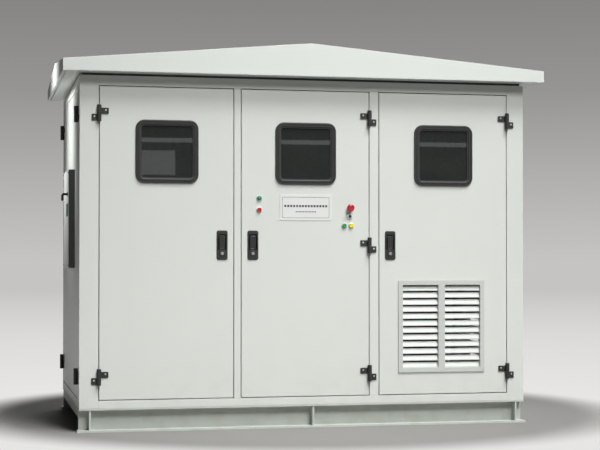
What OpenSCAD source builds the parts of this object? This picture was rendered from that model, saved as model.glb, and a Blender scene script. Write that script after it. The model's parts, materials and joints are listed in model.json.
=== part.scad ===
// Outdoor compact substation: a sheet-steel kiosk on a steel skid, with three
// front bays, a double-leaf side door, a low folded roof, and the switchgear,
// low-voltage board and dry-type transformer that it houses.
// The origin is on the ground under the middle of the roof. +X is to the right
// of someone facing the front doors, and the front doors face -Y.

/* [Skid] */
// Height of the skid beams
base_h = 122; // [100:1:200]
// Thickness of the beam flanges, web and stiffeners
beam_t = 10; // [8:1:14]
// Width of the beam flanges
flange_w = 60; // [50:1:90]
// How far the sole plate shows past the body at each end and at the front
sole_lip = 10; // [5:1:25]
// Height of the cross-members that join the beams
cross_h = 52; // [40:1:80]
// Distance between the left and right anchor holes
anchor_span_x = 2000; // [1200:10:2200]
// Radius of each anchor hole
anchor_r = 9; // [7:0.5:11]

/* [Body] */
// Depth of the body from front to rear
body_d = 1360; // [1200:5:1700]
// Height of every door and panel
door_h = 1611; // [1450:1:1950]
// Width of the left door
door_left_w = 697; // [600:1:900]
// Width of the middle door
door_mid_w = 688; // [640:1:900]
// Width of the right door
door_right_w = 714; // [600:1:900]
// Width of the left corner posts
post_left_w = 98; // [80:1:130]
// Width of the right corner posts
post_right_w = 94; // [80:1:130]
// Depth of the corner posts
post_d = 80; // [60:1:120]
// Width of the mullion between the left and middle doors
mullion_left_w = 35; // [30:1:60]
// Width of the mullion between the middle and right doors
mullion_right_w = 50; // [45:1:80]
// Depth of both mullions
mullion_d = 60; // [50:1:80]
// Height of the bottom rails
sill_h = 39; // [30:1:70]
// Height of the top rails
header_h = 52; // [40:1:90]
// Depth of the rails
rail_d = 40; // [38:1:60]
// Running gap around every door
door_gap = 4; // [3:0.5:6]
// Depth of a door pan, from its face to its back edge
door_t = 36; // [30:1:45]
// Sheet thickness of doors and panels
sheet = 2; // [1.5:0.1:3]
// Wall of the post, mullion and rail tubes
tube_wall = 3; // [2:0.1:5]

/* [Roof] */
// Roof overhang past each side of the body
roof_over_x = 90; // [40:1:150]
// Roof overhang past the front and the rear
roof_over_y = 85; // [40:1:150]
// Height of the fascia at the corners
fascia_h = 60; // [40:1:120]
// Rise of the roof from a side to the middle of its width
rise_x = 113; // [40:1:220]
// Rise of the roof from the front to the middle of its depth
rise_y = 67; // [20:1:160]
// Sheet thickness of the roof
roof_sheet = 3; // [2:0.1:4]
// Height of the dark seal between the frame and the soffit
seal_h = 12; // [6:1:25]

/* [Windows] */
// Outside size of a window frame
window_size = 327; // [260:1:420]
// Corner radius of a window frame
window_r = 45; // [20:1:70]
// Width of the rubber band
window_band = 30; // [20:1:40]
// Distance from the top of a door down to the window centre
window_drop = 332; // [260:1:420]
// Thickness of the window glass
glass_t = 5; // [4:0.5:8]

/* [Locks and hinges] */
// Width of a lock dish
dish_w = 58; // [54:1:70]
// Height of a lock dish
dish_h = 154; // [150:1:180]
// Height of the dish centre above the bottom of its door
lock_height = 795; // [600:1:1000]
// Distance from a door's free edge to the middle of its lock
lock_inset = 60; // [54:1:80]
// Radius of a hinge barrel
barrel_r = 11; // [9:0.5:14]
// Height of a hinge barrel
barrel_h = 84; // [70:1:120]
// Radius of a hinge pin
pin_r = 4; // [3:0.1:5]
// Distance of the top hinge below the top of a door
hinge_drop = 139; // [100:1:250]
// Distance of the bottom hinge above the bottom of a door
hinge_rise = 117; // [100:1:250]

/* [Grille] */
// Outside width of the louvre grille
grille_w = 483; // [420:1:540]
// Outside height of the louvre grille
grille_h = 493; // [420:1:600]
// Number of blades in each bank
blade_count = 12; // [8:1:16]

/* [Side door] */
// Width of the front leaf, which is the wider of the two
side_front_w = 671; // [620:1:720]
// Length of the control box on the front leaf
side_box_l = 396; // [300:1:420]
// Height of the control box on the front leaf
side_box_h = 526; // [400:1:620]
// How far the control box stands proud of the leaf
side_box_t = 34; // [28:1:45]

/* [Hidden] */
$fn = 48;

// Clearances
slip = 0.05;    // radial clearance of a pin or shaft in its bore
seat = 0.2;     // clearance of a piece that is dropped into its seat
gap_run = 0.5;  // clearance between faces that move past each other
nudge = 1;      // how far a cutting tool runs past a face

// Body width and the X place of everything across the front
body_w = post_left_w + door_left_w + mullion_left_w + door_mid_w + mullion_right_w
    + door_right_w + post_right_w + 6 * door_gap;
left_x = -body_w / 2;
right_x = body_w / 2;
front_y = -body_d / 2;
rear_y = body_d / 2;
door_w = [door_left_w, door_mid_w, door_right_w];
door_left_x = left_x + post_left_w + door_gap;
mullion_left_x = door_left_x + door_left_w + door_gap;
door_mid_x = mullion_left_x + mullion_left_w + door_gap;
mullion_right_x = door_mid_x + door_mid_w + door_gap;
door_right_x = mullion_right_x + mullion_right_w + door_gap;
door_x = [door_left_x, door_mid_x, door_right_x];
partition_x = [mullion_left_x + mullion_left_w / 2, mullion_right_x + mullion_right_w / 2];
partition_t = 3;

// Heights
rail_top = base_h + sill_h;
door_z = rail_top + door_gap;
header_z = door_z + door_h + door_gap;
body_top = header_z + header_h;
soffit_z = body_top + seal_h;

// Floor
floor_t = 4;
floor_top = base_h + floor_t;
cable_slot = [260, 80];
cable_slot_y = front_y + flange_w + 10;

// Skid
anchor_y = front_y + flange_w / 3;
stiffener_x = [left_x + 56, 28, right_x - 44];

// Roof
roof_w = body_w + 2 * roof_over_x;
roof_d = body_d + 2 * roof_over_y;
seal_inset = 15;
seal_w = 30;

// Doors, stops and their hinges
door_lip = 15;
stop_gap = 1;
stop_t = 2;
stop_lap = 20;
hinge_side = [0, 1, 1];
hinge_mid = lock_height;
hinge_z = [
    [hinge_rise, door_h - hinge_drop],
    [hinge_rise, hinge_mid, door_h - hinge_drop],
    [hinge_rise, door_h - hinge_drop]
];
pivot_out = barrel_r + 1;
pin_up = 36;
hinge_split = -4;
wing_t = 5;
door_wing = [38, 31];
frame_wing = [28, 34];
screw_r = 4.5;
screw_t = 1.5;

// Side door
side_rear_w = body_d - 2 * post_d - 3 * door_gap - side_front_w;
side_front_y = front_y + post_d + door_gap;
side_meet_y = side_front_y + side_front_w;
side_box_y = side_meet_y - 15 - side_box_l;
side_box_z = 840;
side_wall = 2;
side_handle_y = side_box_y + 60;
side_handle_z = 1236;
handle_r = 6;

// Bolted panels: they seat closely in the frame, with a seam at each partition
panel_t = 20;
panel_seam = 2;
panel_z = rail_top + seat;
panel_h = header_z - rail_top - 2 * seat;
rear_edges = [left_x + post_left_w + seat, partition_x[0] + panel_seam, partition_x[1] + panel_seam];
rear_widths = [
    partition_x[0] - panel_seam - rear_edges[0],
    partition_x[1] - panel_seam - rear_edges[1],
    right_x - post_right_w - seat - rear_edges[2]
];
side_panel_w = body_d - 2 * post_d - 2 * seat;
slot_start = 150;
slot_count = 10;
slot_pitch = 30;
slot_h = 12;

// Lock
flange_out = 5;
dish_r = 11;
dish_depth = 22;
dish_body = [46, 136];
dish_body_r = 4;
dish_floor = 4;
pocket_r = 8;
boss_r = 17;
pocket = [42, 83];
pocket_z = 15.5;
grip_size = [32, 74, 12];
grip_r = 6;
grip_axis_z = 46;
grip_axis_y = 2;
grip_pin_r = 2.5;
key_drop = 43;
key_r = 9;
key_out = 8;
slot_w = 2;
slot_l = 10;
cam_len = 54;
cam_w = 18;
cam_y = door_t + 8;
cam_t = 4;

// Window
frame_out = 10;
collar_t = 16;
collar_depth = 14;
window_open = window_size - 2 * window_band;
window_hole = window_open + 2 * collar_t;
glass_bite = 8;

// Controls on the middle door, measured from the middle of the door and the ground
bezel_r = 15;
bezel_out = 6;
shank_r = 8;
control_x = [-250, -250, 209, 247, 240, 240];
control_z = [1208, 1146, 1065, 1065, 1159, 1114];
thread_r = 11;
thread_depth = 34;
press_travel = 4;
cap_r = bezel_r - 3.5;
lens_r = bezel_r - 3 - seat;
estop_r = 20;
estop_out = 30;
plate_size = [280, 136];
plate_z = 1159;
plate_t = 2;

// Grille
grille_z = 527;
grille_shift = -11;
grille_out = 6;
grille_collar = 22;
grille_border = 22;
grille_bar = 31;
blade_t = 2.5;
blade_l = 34;
blade_tilt = 56;

// Transformer
bay_mid_x = door_right_x + door_right_w / 2;
leg_pitch = 340;
leg_r = 75;
coil_r = 150;
coil_bore_r = 95;
yoke = [150, 2 * leg_pitch + 2 * leg_r + 80, 150];
yoke_z = 240;
coil_lift = 30;
coil_z = yoke_z + yoke[2] + coil_lift;
coil_h = 640;
top_yoke_z = coil_z + coil_h + coil_lift;
clamp_t = 12;
clamp_h = 120;

// Low-voltage board
board_y = front_y + 330;
board_t = 3;
board_h = 1350;
board_lift = 250;
board_mid = (partition_x[0] + partition_x[1]) / 2;

// Fan
fan_r = 150;
fan_z = 1450;
hub_r = 45;
fan_mount_y = rear_y - 130;
fan_depth = rear_y - sheet - fan_mount_y;
fan_hole_r = fan_r + 4;
spindle_r = 6;
rotor_y = 36;
rotor_l = 40;

// A rounded rectangle, centred
module rounded_rect(w, h, r) {
    square([w - 2 * r, h], center = true);
    square([w, h - 2 * r], center = true);
    for (sx = [-1, 1], sy = [-1, 1]) {
        translate([sx * (w / 2 - r), sy * (h / 2 - r)]) circle(r);
    }
}

// A plate standing in the XZ plane, centred, from y0 inwards
module upright_plate(w, h, r, y0, t) {
    translate([0, y0 + t, 0]) rotate([90, 0, 0]) linear_extrude(t) rounded_rect(w, h, r);
}

// A rod along Y from y0, of length l
module rod_y(r, y0, l) {
    translate([0, y0 + l, 0]) rotate([90, 0, 0]) cylinder(r = r, h = l);
}

// A rod along X from x0, of length l
module rod_x(r, x0, l) {
    translate([x0, 0, 0]) rotate([0, 90, 0]) cylinder(r = r, h = l);
}

// A square tube: a block hollowed along one axis
module tube(size, axis) {
    inner = [for (i = [0:2]) i == axis ? size[i] + 2 * nudge : size[i] - 2 * tube_wall];
    start = [for (i = [0:2]) i == axis ? -nudge : tube_wall];
    difference() {
        cube(size);
        translate(start) cube(inner);
    }
}

// A folded pan: face at y = 0, returned edges, and a lip around its open back
module pan(w, d, h, lip) {
    difference() {
        cube([w, d, h]);
        translate([sheet, sheet, sheet]) cube([w - 2 * sheet, d - 2 * sheet, h - 2 * sheet]);
        translate([lip, d / 2, lip]) cube([w - 2 * lip, d, h - 2 * lip]);
    }
}

// Places its children at front door i, with y = 0 on the door's face
module at_door(i) {
    translate([door_x[i], front_y, door_z]) children();
}

// Distance from the left edge of front door i to the middle of its lock
function lock_x(i) = hinge_side[i] == 0 ? door_w[i] - lock_inset : lock_inset;

// Places its children at the middle of the lock on front door i
module at_lock(i) {
    at_door(i) translate([lock_x(i), 0, lock_height]) children();
}

// Places its children at the key of the lock on front door i
module at_key(i) {
    at_lock(i) translate([0, 0, -key_drop]) children();
}

// Places its children at the middle of the window in front door i
module at_window(i) {
    at_door(i) translate([door_w[i] / 2, 0, door_h - window_drop]) children();
}

// Places its children at each hinge of front door i, with +X towards the door
module at_hinges(i) {
    edge = hinge_side[i] == 0 ? -door_gap / 2 : door_w[i] + door_gap / 2;
    for (z = hinge_z[i]) {
        at_door(i) translate([edge, -pivot_out, z]) mirror([hinge_side[i], 0, 0]) children();
    }
}

// Places its children on the left side, with +X running forwards and y = 0 on the face
module at_side(y) {
    translate([left_x, y, door_z]) rotate([0, 0, -90]) children();
}

// Places its children at the hinges of a side leaf, with +X towards the leaf
module at_side_hinges(front) {
    y = front ? side_front_y - door_gap / 2 : rear_y - post_d - door_gap / 2;
    for (z = hinge_z[0]) {
        at_side(y) translate([0, -pivot_out, z]) mirror([front ? 1 : 0, 0, 0]) children();
    }
}

// The half of a hinge that lifts off with the door
module door_half_hinge() {
    low = hinge_split + gap_run / 2;
    difference() {
        union() {
            translate([0, 0, low]) cylinder(r = barrel_r, h = barrel_h / 2 - low);
            translate([0, pivot_out - wing_t, low])
                cube([barrel_r + door_wing[0], wing_t, door_wing[1]]);
        }
        translate([0, 0, low - nudge]) cylinder(r = pin_r + slip, h = pin_up + slip - low + nudge);
    }
    translate([barrel_r + door_wing[0] * 0.6, pivot_out - wing_t, low + door_wing[1] * 0.62])
        rod_y(screw_r, -screw_t, screw_t);
}

// The half of a hinge that is screwed to the frame, with its pin
module frame_half_hinge() {
    high = hinge_split - gap_run / 2;
    cylinder(r = pin_r, h = pin_up);
    translate([0, 0, high]) cylinder(r = pin_r, h = -high);
    translate([0, 0, -barrel_h / 2]) cylinder(r = barrel_r, h = barrel_h / 2 + high);
    translate([-barrel_r - frame_wing[0], pivot_out - wing_t, high - frame_wing[1]])
        cube([barrel_r + frame_wing[0], wing_t, frame_wing[1]]);
    translate([-barrel_r - frame_wing[0] * 0.5, pivot_out - wing_t, high - frame_wing[1] * 0.4])
        rod_y(screw_r, -screw_t, screw_t);
}

// A breaker with its toggle, centred, standing forwards from y = 0
module breaker(case, toggle) {
    translate([-case[0] / 2, -case[1], -case[2] / 2]) cube(case);
    translate([-toggle[0] / 2, -case[1] - toggle[1], -toggle[2] / 2]) cube(toggle);
}

// One front door skin with the holes for its window and its lock
module door_body(i) {
    cut_t = sheet + 2 * nudge;
    at_door(i) difference() {
        pan(door_w[i], door_t, door_h, door_lip);
        translate([door_w[i] / 2, 0, door_h - window_drop])
            upright_plate(window_hole, window_hole, window_r - window_band + collar_t, -nudge, cut_t);
        translate([lock_x(i), 0, lock_height])
            upright_plate(dish_body[0] + 2 * seat, dish_body[1] + 2 * seat, dish_body_r, -nudge, cut_t);
        if (i == 1) control_holes();
        if (i == 2) grille_hole();
    }
}

// Holes for the push buttons and lamps, in the frame of the middle door
module control_holes() {
    for (k = [0:len(control_x) - 1]) {
        translate([door_mid_w / 2 + control_x[k], 0, control_z[k] - door_z])
            rod_y(thread_r + seat, -nudge, sheet + 2 * nudge);
    }
}

// Opening behind the louvre grille, in the frame of the right door
module grille_hole() {
    translate([door_right_w / 2 + grille_shift, 0, grille_z - door_z])
        upright_plate(grille_w - 2 * grille_border + 2 * seat, grille_h - 2 * grille_border + 2 * seat,
            1, -nudge, sheet + 2 * nudge);
}

// Rubber window frame: an outer band and a collar through the door, grooved for the glass
module window_frame(i) {
    at_window(i) difference() {
        union() {
            upright_plate(window_size, window_size, window_r, -frame_out, frame_out);
            upright_plate(window_hole - 2 * seat, window_hole - 2 * seat,
                window_r - window_band + collar_t - seat, 0, collar_depth);
        }
        upright_plate(window_open, window_open, window_r - window_band, -frame_out - nudge,
            frame_out + collar_depth + 2 * nudge);
        upright_plate(window_open + 2 * glass_bite + 2 * seat, window_open + 2 * glass_bite + 2 * seat,
            window_r - window_band + glass_bite, -seat, glass_t + 2 * seat);
    }
}

// Window glass, held in the groove of its frame
module window_glass(i) {
    at_window(i) upright_plate(window_open + 2 * glass_bite, window_open + 2 * glass_bite,
        window_r - window_band + glass_bite - seat, 0, glass_t);
}

// Lock dish with a pocket for the grip and a boss for the key cylinder
module lock_dish(i) {
    boss_out = flange_out + 1;
    pin_bore_l = dish_body[0] - 2;
    at_lock(i) difference() {
        union() {
            upright_plate(dish_w, dish_h, dish_r, -flange_out, flange_out);
            upright_plate(dish_body[0], dish_body[1], dish_body_r - seat, 0, dish_depth);
            translate([0, 0, -key_drop]) rod_y(boss_r, -boss_out, boss_out);
        }
        translate([0, 0, pocket_z])
            upright_plate(pocket[0], pocket[1], pocket_r, -flange_out - nudge,
                flange_out + dish_depth - dish_floor + nudge);
        translate([0, grip_axis_y, grip_axis_z]) rod_x(grip_pin_r + slip, -pin_bore_l / 2, pin_bore_l);
        translate([0, 0, -key_drop])
            rod_y(key_r + slip, -boss_out - nudge, boss_out + dish_depth + 2 * nudge);
    }
}

// Grip that folds out of the dish about the pin at its top
module lock_grip(i) {
    pin_l = dish_body[0] - 2 - 2 * seat;
    above_pin = 4;
    behind_pin = 4;
    at_lock(i) {
        translate([0, 0, grip_axis_z + above_pin - grip_size[1] / 2])
            upright_plate(grip_size[0], grip_size[1], grip_r,
                grip_axis_y + behind_pin - grip_size[2], grip_size[2]);
        translate([0, grip_axis_y, grip_axis_z]) rod_x(grip_pin_r, -pin_l / 2, pin_l);
    }
}

// The slot for a key, cut into a face at y = 0
module key_slot() {
    translate([-slot_w / 2, -nudge, -slot_l / 2]) cube([slot_w, slot_w + nudge, slot_l]);
}

// Key cylinder with the cam that swings behind the door stop
module lock_key(i) {
    at_key(i) {
        difference() {
            rod_y(key_r, -key_out, key_out + cam_y + cam_t);
            translate([0, -key_out, 0]) key_slot();
        }
        difference() {
            translate([-cam_w / 2, cam_y, -cam_len]) cube([cam_w, cam_t, cam_len]);
            rod_y(key_r - 1, cam_y - nudge, cam_t + 2 * nudge);
        }
    }
}

// Hinge halves on front door i
module door_hinges(i) {
    at_hinges(i) door_half_hinge();
}

// Places its children at control k on the middle door, with y = 0 on the door's face
module at_control(k) {
    translate([door_mid_x + door_mid_w / 2 + control_x[k], front_y, control_z[k]]) children();
}

// A flat-headed push button in its bezel
module push_button(k) {
    at_control(k) {
        rod_y(cap_r, -bezel_out - press_travel, press_travel + 1);
        rod_y(shank_r, -bezel_out + 1, thread_depth - 4);
    }
}

// A ring of flat strips around an opening: full-height uprights, with rails between them
module stop_ring(w, h) {
    for (x = [0, w - stop_lap]) {
        translate([x, 0, 0]) cube([stop_lap, stop_t, h]);
    }
    for (z = [0, h - stop_lap]) {
        translate([stop_lap, 0, z]) cube([w - 2 * stop_lap, stop_t, stop_lap]);
    }
}

// A bank of slots through a panel face, in the panel's own frame
module panel_slots(x, z, w) {
    for (k = [0:slot_count - 1]) {
        translate([x, -nudge, z + k * slot_pitch]) cube([w, sheet + 2 * nudge, slot_h]);
    }
}

// A tent-shaped block: flat base, upright fascias that peak in their middles, four roof planes
module roof_block(w, d, corner) {
    base = [for (p = [[-1, -1], [1, -1], [1, 1], [-1, 1]]) [p[0] * w / 2, p[1] * d / 2, 0]];
    corners = [for (p = base) [p[0], p[1], corner]];
    peaks = [
        [0, -d / 2, corner + rise_x], [w / 2, 0, corner + rise_y],
        [0, d / 2, corner + rise_x], [-w / 2, 0, corner + rise_y]
    ];
    apex = [[0, 0, corner + rise_x + rise_y]];
    walls = [for (k = [0:3]) [k, 4 + k, 8 + k, 4 + (k + 1) % 4, (k + 1) % 4]];
    planes = [for (k = [0:3]) [4 + k, 8 + (k + 3) % 4, 12, 8 + k]];
    polyhedron(concat(base, corners, peaks, apex), concat([[0, 1, 2, 3]], walls, planes));
}

module base_beams() {
    color("gainsboro") for (side = [0, 1]) {
        mirror([0, side, 0]) difference() {
            union() {
                translate([left_x - sole_lip, front_y - sole_lip, 0])
                    cube([body_w + 2 * sole_lip, flange_w + sole_lip, beam_t]);
                translate([left_x, front_y, base_h - beam_t]) cube([body_w, flange_w, beam_t]);
                translate([left_x, front_y + flange_w - beam_t, beam_t / 2])
                    cube([body_w, beam_t, base_h - beam_t]);
            }
            for (sx = [-1, 1]) {
                translate([sx * anchor_span_x / 2, anchor_y, -nudge])
                    cylinder(r = anchor_r, h = beam_t + 2 * nudge);
            }
        }
    }
}

module beam_stiffeners() {
    setback = 2;
    color("gainsboro") for (side = [0, 1], x = stiffener_x) {
        mirror([0, side, 0]) translate([x - beam_t / 2, front_y + setback, beam_t])
            cube([beam_t, flange_w - beam_t - setback, base_h - 2 * beam_t]);
    }
}

module base_cross_members() {
    flange = 40;
    t = 8;
    web_y = front_y + flange_w;
    places = [
        [left_x, 0], [partition_x[0] - flange / 2, 0],
        [partition_x[1] - flange / 2, 0], [right_x, 1]
    ];
    color("gainsboro") for (p = places) {
        translate([p[0], web_y, base_h - cross_h]) mirror([p[1], 0, 0]) difference() {
            cube([flange, -2 * web_y, cross_h]);
            translate([t, -nudge, t]) cube([flange, 2 * nudge - 2 * web_y, cross_h - 2 * t]);
        }
    }
}

module floor_plate() {
    post_w = max(post_left_w, post_right_w) + nudge;
    inner_d = body_d - 2 * rail_d - 2 * seat;
    inner_w = body_w - 2 * rail_d - 2 * seat;
    color("silver") translate([0, 0, base_h]) difference() {
        translate([-inner_w / 2, -inner_d / 2, 0]) cube([inner_w, inner_d, floor_t]);
        for (sx = [-1, 1], sy = [-1, 1]) {
            translate([sx * body_w / 2 - post_w, sy * body_d / 2 - post_d - nudge, -nudge])
                cube([2 * post_w, 2 * (post_d + nudge), floor_t + 2 * nudge]);
        }
        for (i = [0:2]) {
            translate([door_x[i] + door_w[i] / 2 - cable_slot[0] / 2, cable_slot_y, -nudge])
                cube([cable_slot[0], cable_slot[1], floor_t + 2 * nudge]);
        }
    }
}

module corner_posts() {
    h = body_top - base_h;
    color("gainsboro") for (side = [0, 1]) {
        mirror([0, side, 0]) {
            translate([left_x, front_y, base_h]) tube([post_left_w, post_d, h], 2);
            translate([right_x - post_right_w, front_y, base_h]) tube([post_right_w, post_d, h], 2);
        }
    }
}

module door_mullions() {
    h = header_z - rail_top;
    color("gainsboro") {
        translate([mullion_left_x, front_y, rail_top]) tube([mullion_left_w, mullion_d, h], 2);
        translate([mullion_right_x, front_y, rail_top]) tube([mullion_right_w, mullion_d, h], 2);
    }
}

module frame_rails() {
    long = body_w - post_left_w - post_right_w;
    deep = body_d - 2 * post_d;
    levels = [[base_h, sill_h], [header_z, header_h]];
    color("gainsboro") for (level = levels) {
        for (y = [front_y, rear_y - rail_d]) {
            translate([left_x + post_left_w, y, level[0]]) tube([long, rail_d, level[1]], 0);
        }
        for (x = [left_x, right_x - rail_d]) {
            translate([x, -deep / 2, level[0]]) tube([rail_d, deep, level[1]], 1);
        }
    }
}

module door_stops() {
    back = door_t + stop_gap;
    ring_h = door_h + 2 * door_gap;
    color("silver") {
        for (i = [0:2]) {
            translate([door_x[i] - door_gap, front_y + back, rail_top])
                stop_ring(door_w[i] + 2 * door_gap, ring_h);
        }
        translate([left_x, rear_y - post_d, rail_top]) rotate([0, 0, -90]) translate([0, back, 0])
            stop_ring(body_d - 2 * post_d, ring_h);
    }
}

module bay_partitions() {
    color("silver") for (x = partition_x) {
        translate([x - partition_t / 2, front_y + mullion_d, floor_top])
            cube([partition_t, body_d - mullion_d - rail_d, body_top - floor_top]);
        translate([x - partition_t / 2, rear_y - rail_d - nudge, panel_z])
            cube([partition_t, rail_d - panel_t / 2 + nudge, panel_h]);
    }
}

module rear_panels() {
    bank_w = 320;
    color("gainsboro") for (i = [0:2]) {
        translate([rear_edges[i], rear_y, panel_z]) mirror([0, 1, 0]) difference() {
            pan(rear_widths[i], panel_t, panel_h, door_lip);
            if (i == 2) {
                panel_slots((rear_widths[i] - bank_w) / 2, slot_start, bank_w);
                translate([bay_mid_x - rear_edges[2], 0, fan_z - panel_z])
                    rod_y(fan_hole_r, -nudge, sheet + 2 * nudge);
            }
        }
    }
}

module right_side_panel() {
    bank_w = 420;
    color("gainsboro") translate([right_x, -side_panel_w / 2, panel_z]) rotate([0, 0, 90]) difference() {
        pan(side_panel_w, panel_t, panel_h, door_lip);
        for (z = [slot_start, panel_h - slot_start - slot_count * slot_pitch]) {
            panel_slots((side_panel_w - bank_w) / 2, z, bank_w);
        }
    }
}

module panel_fasteners() {
    head_r = 7;
    head_t = 4;
    inset = 22;
    heights = [inset, panel_h / 2, panel_h - inset];
    color("dimgray") {
        for (i = [0:2], x = [inset, rear_widths[i] - inset], z = heights) {
            translate([rear_edges[i] + x, rear_y, panel_z + z]) rod_y(head_r, 0, head_t);
        }
        for (y = [inset, side_panel_w - inset], z = heights) {
            translate([right_x, y - side_panel_w / 2, panel_z + z]) rod_x(head_r, 0, head_t);
        }
    }
}

module roof_seal() {
    outer = [body_w - 2 * seal_inset, body_d - 2 * seal_inset];
    color("black") translate([0, 0, body_top]) difference() {
        translate([-outer[0] / 2, -outer[1] / 2, 0]) cube([outer[0], outer[1], seal_h]);
        translate([-outer[0] / 2 + seal_w, -outer[1] / 2 + seal_w, -nudge])
            cube([outer[0] - 2 * seal_w, outer[1] - 2 * seal_w, seal_h + 2 * nudge]);
    }
}

module roof_soffit() {
    inner = [roof_w - 2 * roof_sheet - 2 * seat, roof_d - 2 * roof_sheet - 2 * seat];
    color("gray") translate([-inner[0] / 2, -inner[1] / 2, soffit_z]) cube([inner[0], inner[1], sheet]);
}

module roof_cap() {
    color("gainsboro") translate([0, 0, soffit_z]) difference() {
        roof_block(roof_w, roof_d, fascia_h);
        translate([0, 0, -nudge])
            roof_block(roof_w - 2 * roof_sheet, roof_d - 2 * roof_sheet, fascia_h + nudge - roof_sheet);
    }
}

module frame_hinges() {
    color("black") {
        for (i = [0:2]) {
            at_hinges(i) frame_half_hinge();
        }
        for (front = [true, false]) {
            at_side_hinges(front) frame_half_hinge();
        }
    }
}

module transformer_core() {
    color("dimgray") translate([bay_mid_x, 0, 0]) {
        for (z = [yoke_z, top_yoke_z]) {
            translate([-yoke[0] / 2, -yoke[1] / 2, z]) cube(yoke);
        }
        for (y = [-leg_pitch, 0, leg_pitch]) {
            translate([0, y, yoke_z + yoke[2] - nudge])
                cylinder(r = leg_r, h = top_yoke_z - yoke_z - yoke[2] + 2 * nudge);
        }
    }
}

module transformer_coils() {
    color("firebrick") for (y = [-leg_pitch, 0, leg_pitch]) {
        translate([bay_mid_x, y, coil_z]) difference() {
            cylinder(r = coil_r, h = coil_h);
            translate([0, 0, -nudge]) cylinder(r = coil_bore_r, h = coil_h + 2 * nudge);
        }
    }
}

module transformer_clamps() {
    clamp_l = yoke[1] + 20;
    block = [46, 40, coil_lift];
    foot_w = 60;
    foot_l = 90;
    foot_h = yoke_z + 100 - floor_top;
    color("slategray") translate([bay_mid_x, 0, 0]) for (side = [0, 1]) {
        mirror([side, 0, 0]) {
            for (z = [coil_z - coil_lift - clamp_h, top_yoke_z]) {
                translate([yoke[0] / 2, -clamp_l / 2, z]) cube([clamp_t, clamp_l, clamp_h]);
            }
            for (y = [-0.35 * clamp_l, 0.35 * clamp_l]) {
                translate([yoke[0] / 2 + clamp_t, y - foot_w / 2, floor_top]) {
                    cube([clamp_t, foot_w, foot_h]);
                    cube([foot_l, foot_w, clamp_t]);
                }
            }
            for (y = [-leg_pitch, 0, leg_pitch], z = [coil_z - block[2], coil_z + coil_h]) {
                translate([yoke[0] / 2 + nudge, y - block[1] / 2, z]) cube(block);
            }
        }
    }
}

module switchgear_unit() {
    size = [480, 760, 1480];
    wall = 3;
    cover_in = 40;
    cover_t = 12;
    covers = [[620, 300], [1000, 400]];
    bolt_in = 30;
    bolt_r = 9;
    bolt_out = 8;
    x = door_left_x + door_left_w / 2 - size[0] / 2;
    color("whitesmoke") translate([x, front_y + 180, floor_top]) {
        difference() {
            cube(size);
            translate([wall, wall, wall]) cube([size[0] - 2 * wall, size[1], size[2] - 2 * wall]);
        }
        for (c = covers) {
            translate([cover_in, -cover_t, c[0]]) cube([size[0] - 2 * cover_in, cover_t, c[1]]);
            for (bx = [cover_in + bolt_in, size[0] - cover_in - bolt_in], bz = [bolt_in, c[1] - bolt_in]) {
                translate([bx, -cover_t, c[0] + bz]) rod_y(bolt_r, -bolt_out, bolt_out);
            }
        }
    }
}

module lv_mounting_plate() {
    edge = partition_t / 2 + gap_run;
    w = partition_x[1] - partition_x[0] - 2 * edge;
    color("silver") translate([partition_x[0] + edge, board_y, floor_top + board_lift])
        cube([w, board_t, board_h]);
}

module lv_busbars() {
    bar = [40, 6, 420];
    bar_z = 1080;
    pitch = 90;
    post_r = 14;
    post_l = 20;
    color("peru") for (x = [-pitch, 0, pitch]) {
        translate([board_mid + x, board_y, 0]) {
            translate([-bar[0] / 2, -post_l - bar[1], bar_z]) cube(bar);
            for (z = [bar_z + bar[0], bar_z + bar[2] - bar[0]]) {
                translate([0, 0, z]) rod_y(post_r, -post_l, post_l);
            }
        }
    }
}

module lv_breakers() {
    main = [210, 110, 300];
    main_toggle = [40, 20, 60];
    branch = [90, 75, 160];
    branch_toggle = [20, 12, 30];
    pitch = 102;
    color("dimgray") {
        translate([board_mid, board_y, 890]) breaker(main, main_toggle);
        for (k = [-2.5:2.5]) {
            translate([board_mid + k * pitch, board_y, 550]) breaker(branch, branch_toggle);
        }
    }
}

module fan_housing() {
    frame = 2 * fan_r + 40;
    bar = [2 * fan_r + 20, 6, 12];
    bar_y = 2;
    motor_l = 30;
    color("dimgray") translate([bay_mid_x, fan_mount_y, fan_z]) {
        difference() {
            upright_plate(frame, frame, 12, 0, fan_depth);
            rod_y(fan_hole_r, -nudge, fan_depth + 2 * nudge);
        }
        for (a = [0, 90]) {
            rotate([0, a, 0]) translate([-bar[0] / 2, bar_y, -bar[2] / 2]) cube(bar);
        }
        rod_y(hub_r - 3, bar_y, motor_l);
        rod_y(spindle_r, motor_l, rotor_l);
    }
}

module fan_rotor() {
    blades = 5;
    blade = [58, 3, fan_r - 24];
    bore_end = 70 + slip;
    color("black") translate([bay_mid_x, fan_mount_y, fan_z]) difference() {
        union() {
            rod_y(hub_r, rotor_y, rotor_l);
            for (k = [0:blades - 1]) {
                rotate([0, k * 360 / blades, 0])
                    translate([0, rotor_y + rotor_l / 2, fan_r / 2 + 8]) rotate([0, 0, 35])
                        cube(blade, center = true);
            }
        }
        rod_y(spindle_r + slip, rotor_y - nudge, bore_end - rotor_y + nudge);
    }
}

module left_door_panel() {
    color("gainsboro") door_body(0);
}
module left_window_frame() {
    color("black") window_frame(0);
}
module left_window_glass() {
    color("darkslategray") window_glass(0);
}
module left_lock_dish() {
    color("black") lock_dish(0);
}
module left_hinge_leaves() {
    color("black") door_hinges(0);
}
module left_lock_grip() {
    color("darkslategray") lock_grip(0);
}
module left_lock_key() {
    color("silver") lock_key(0);
}

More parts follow.
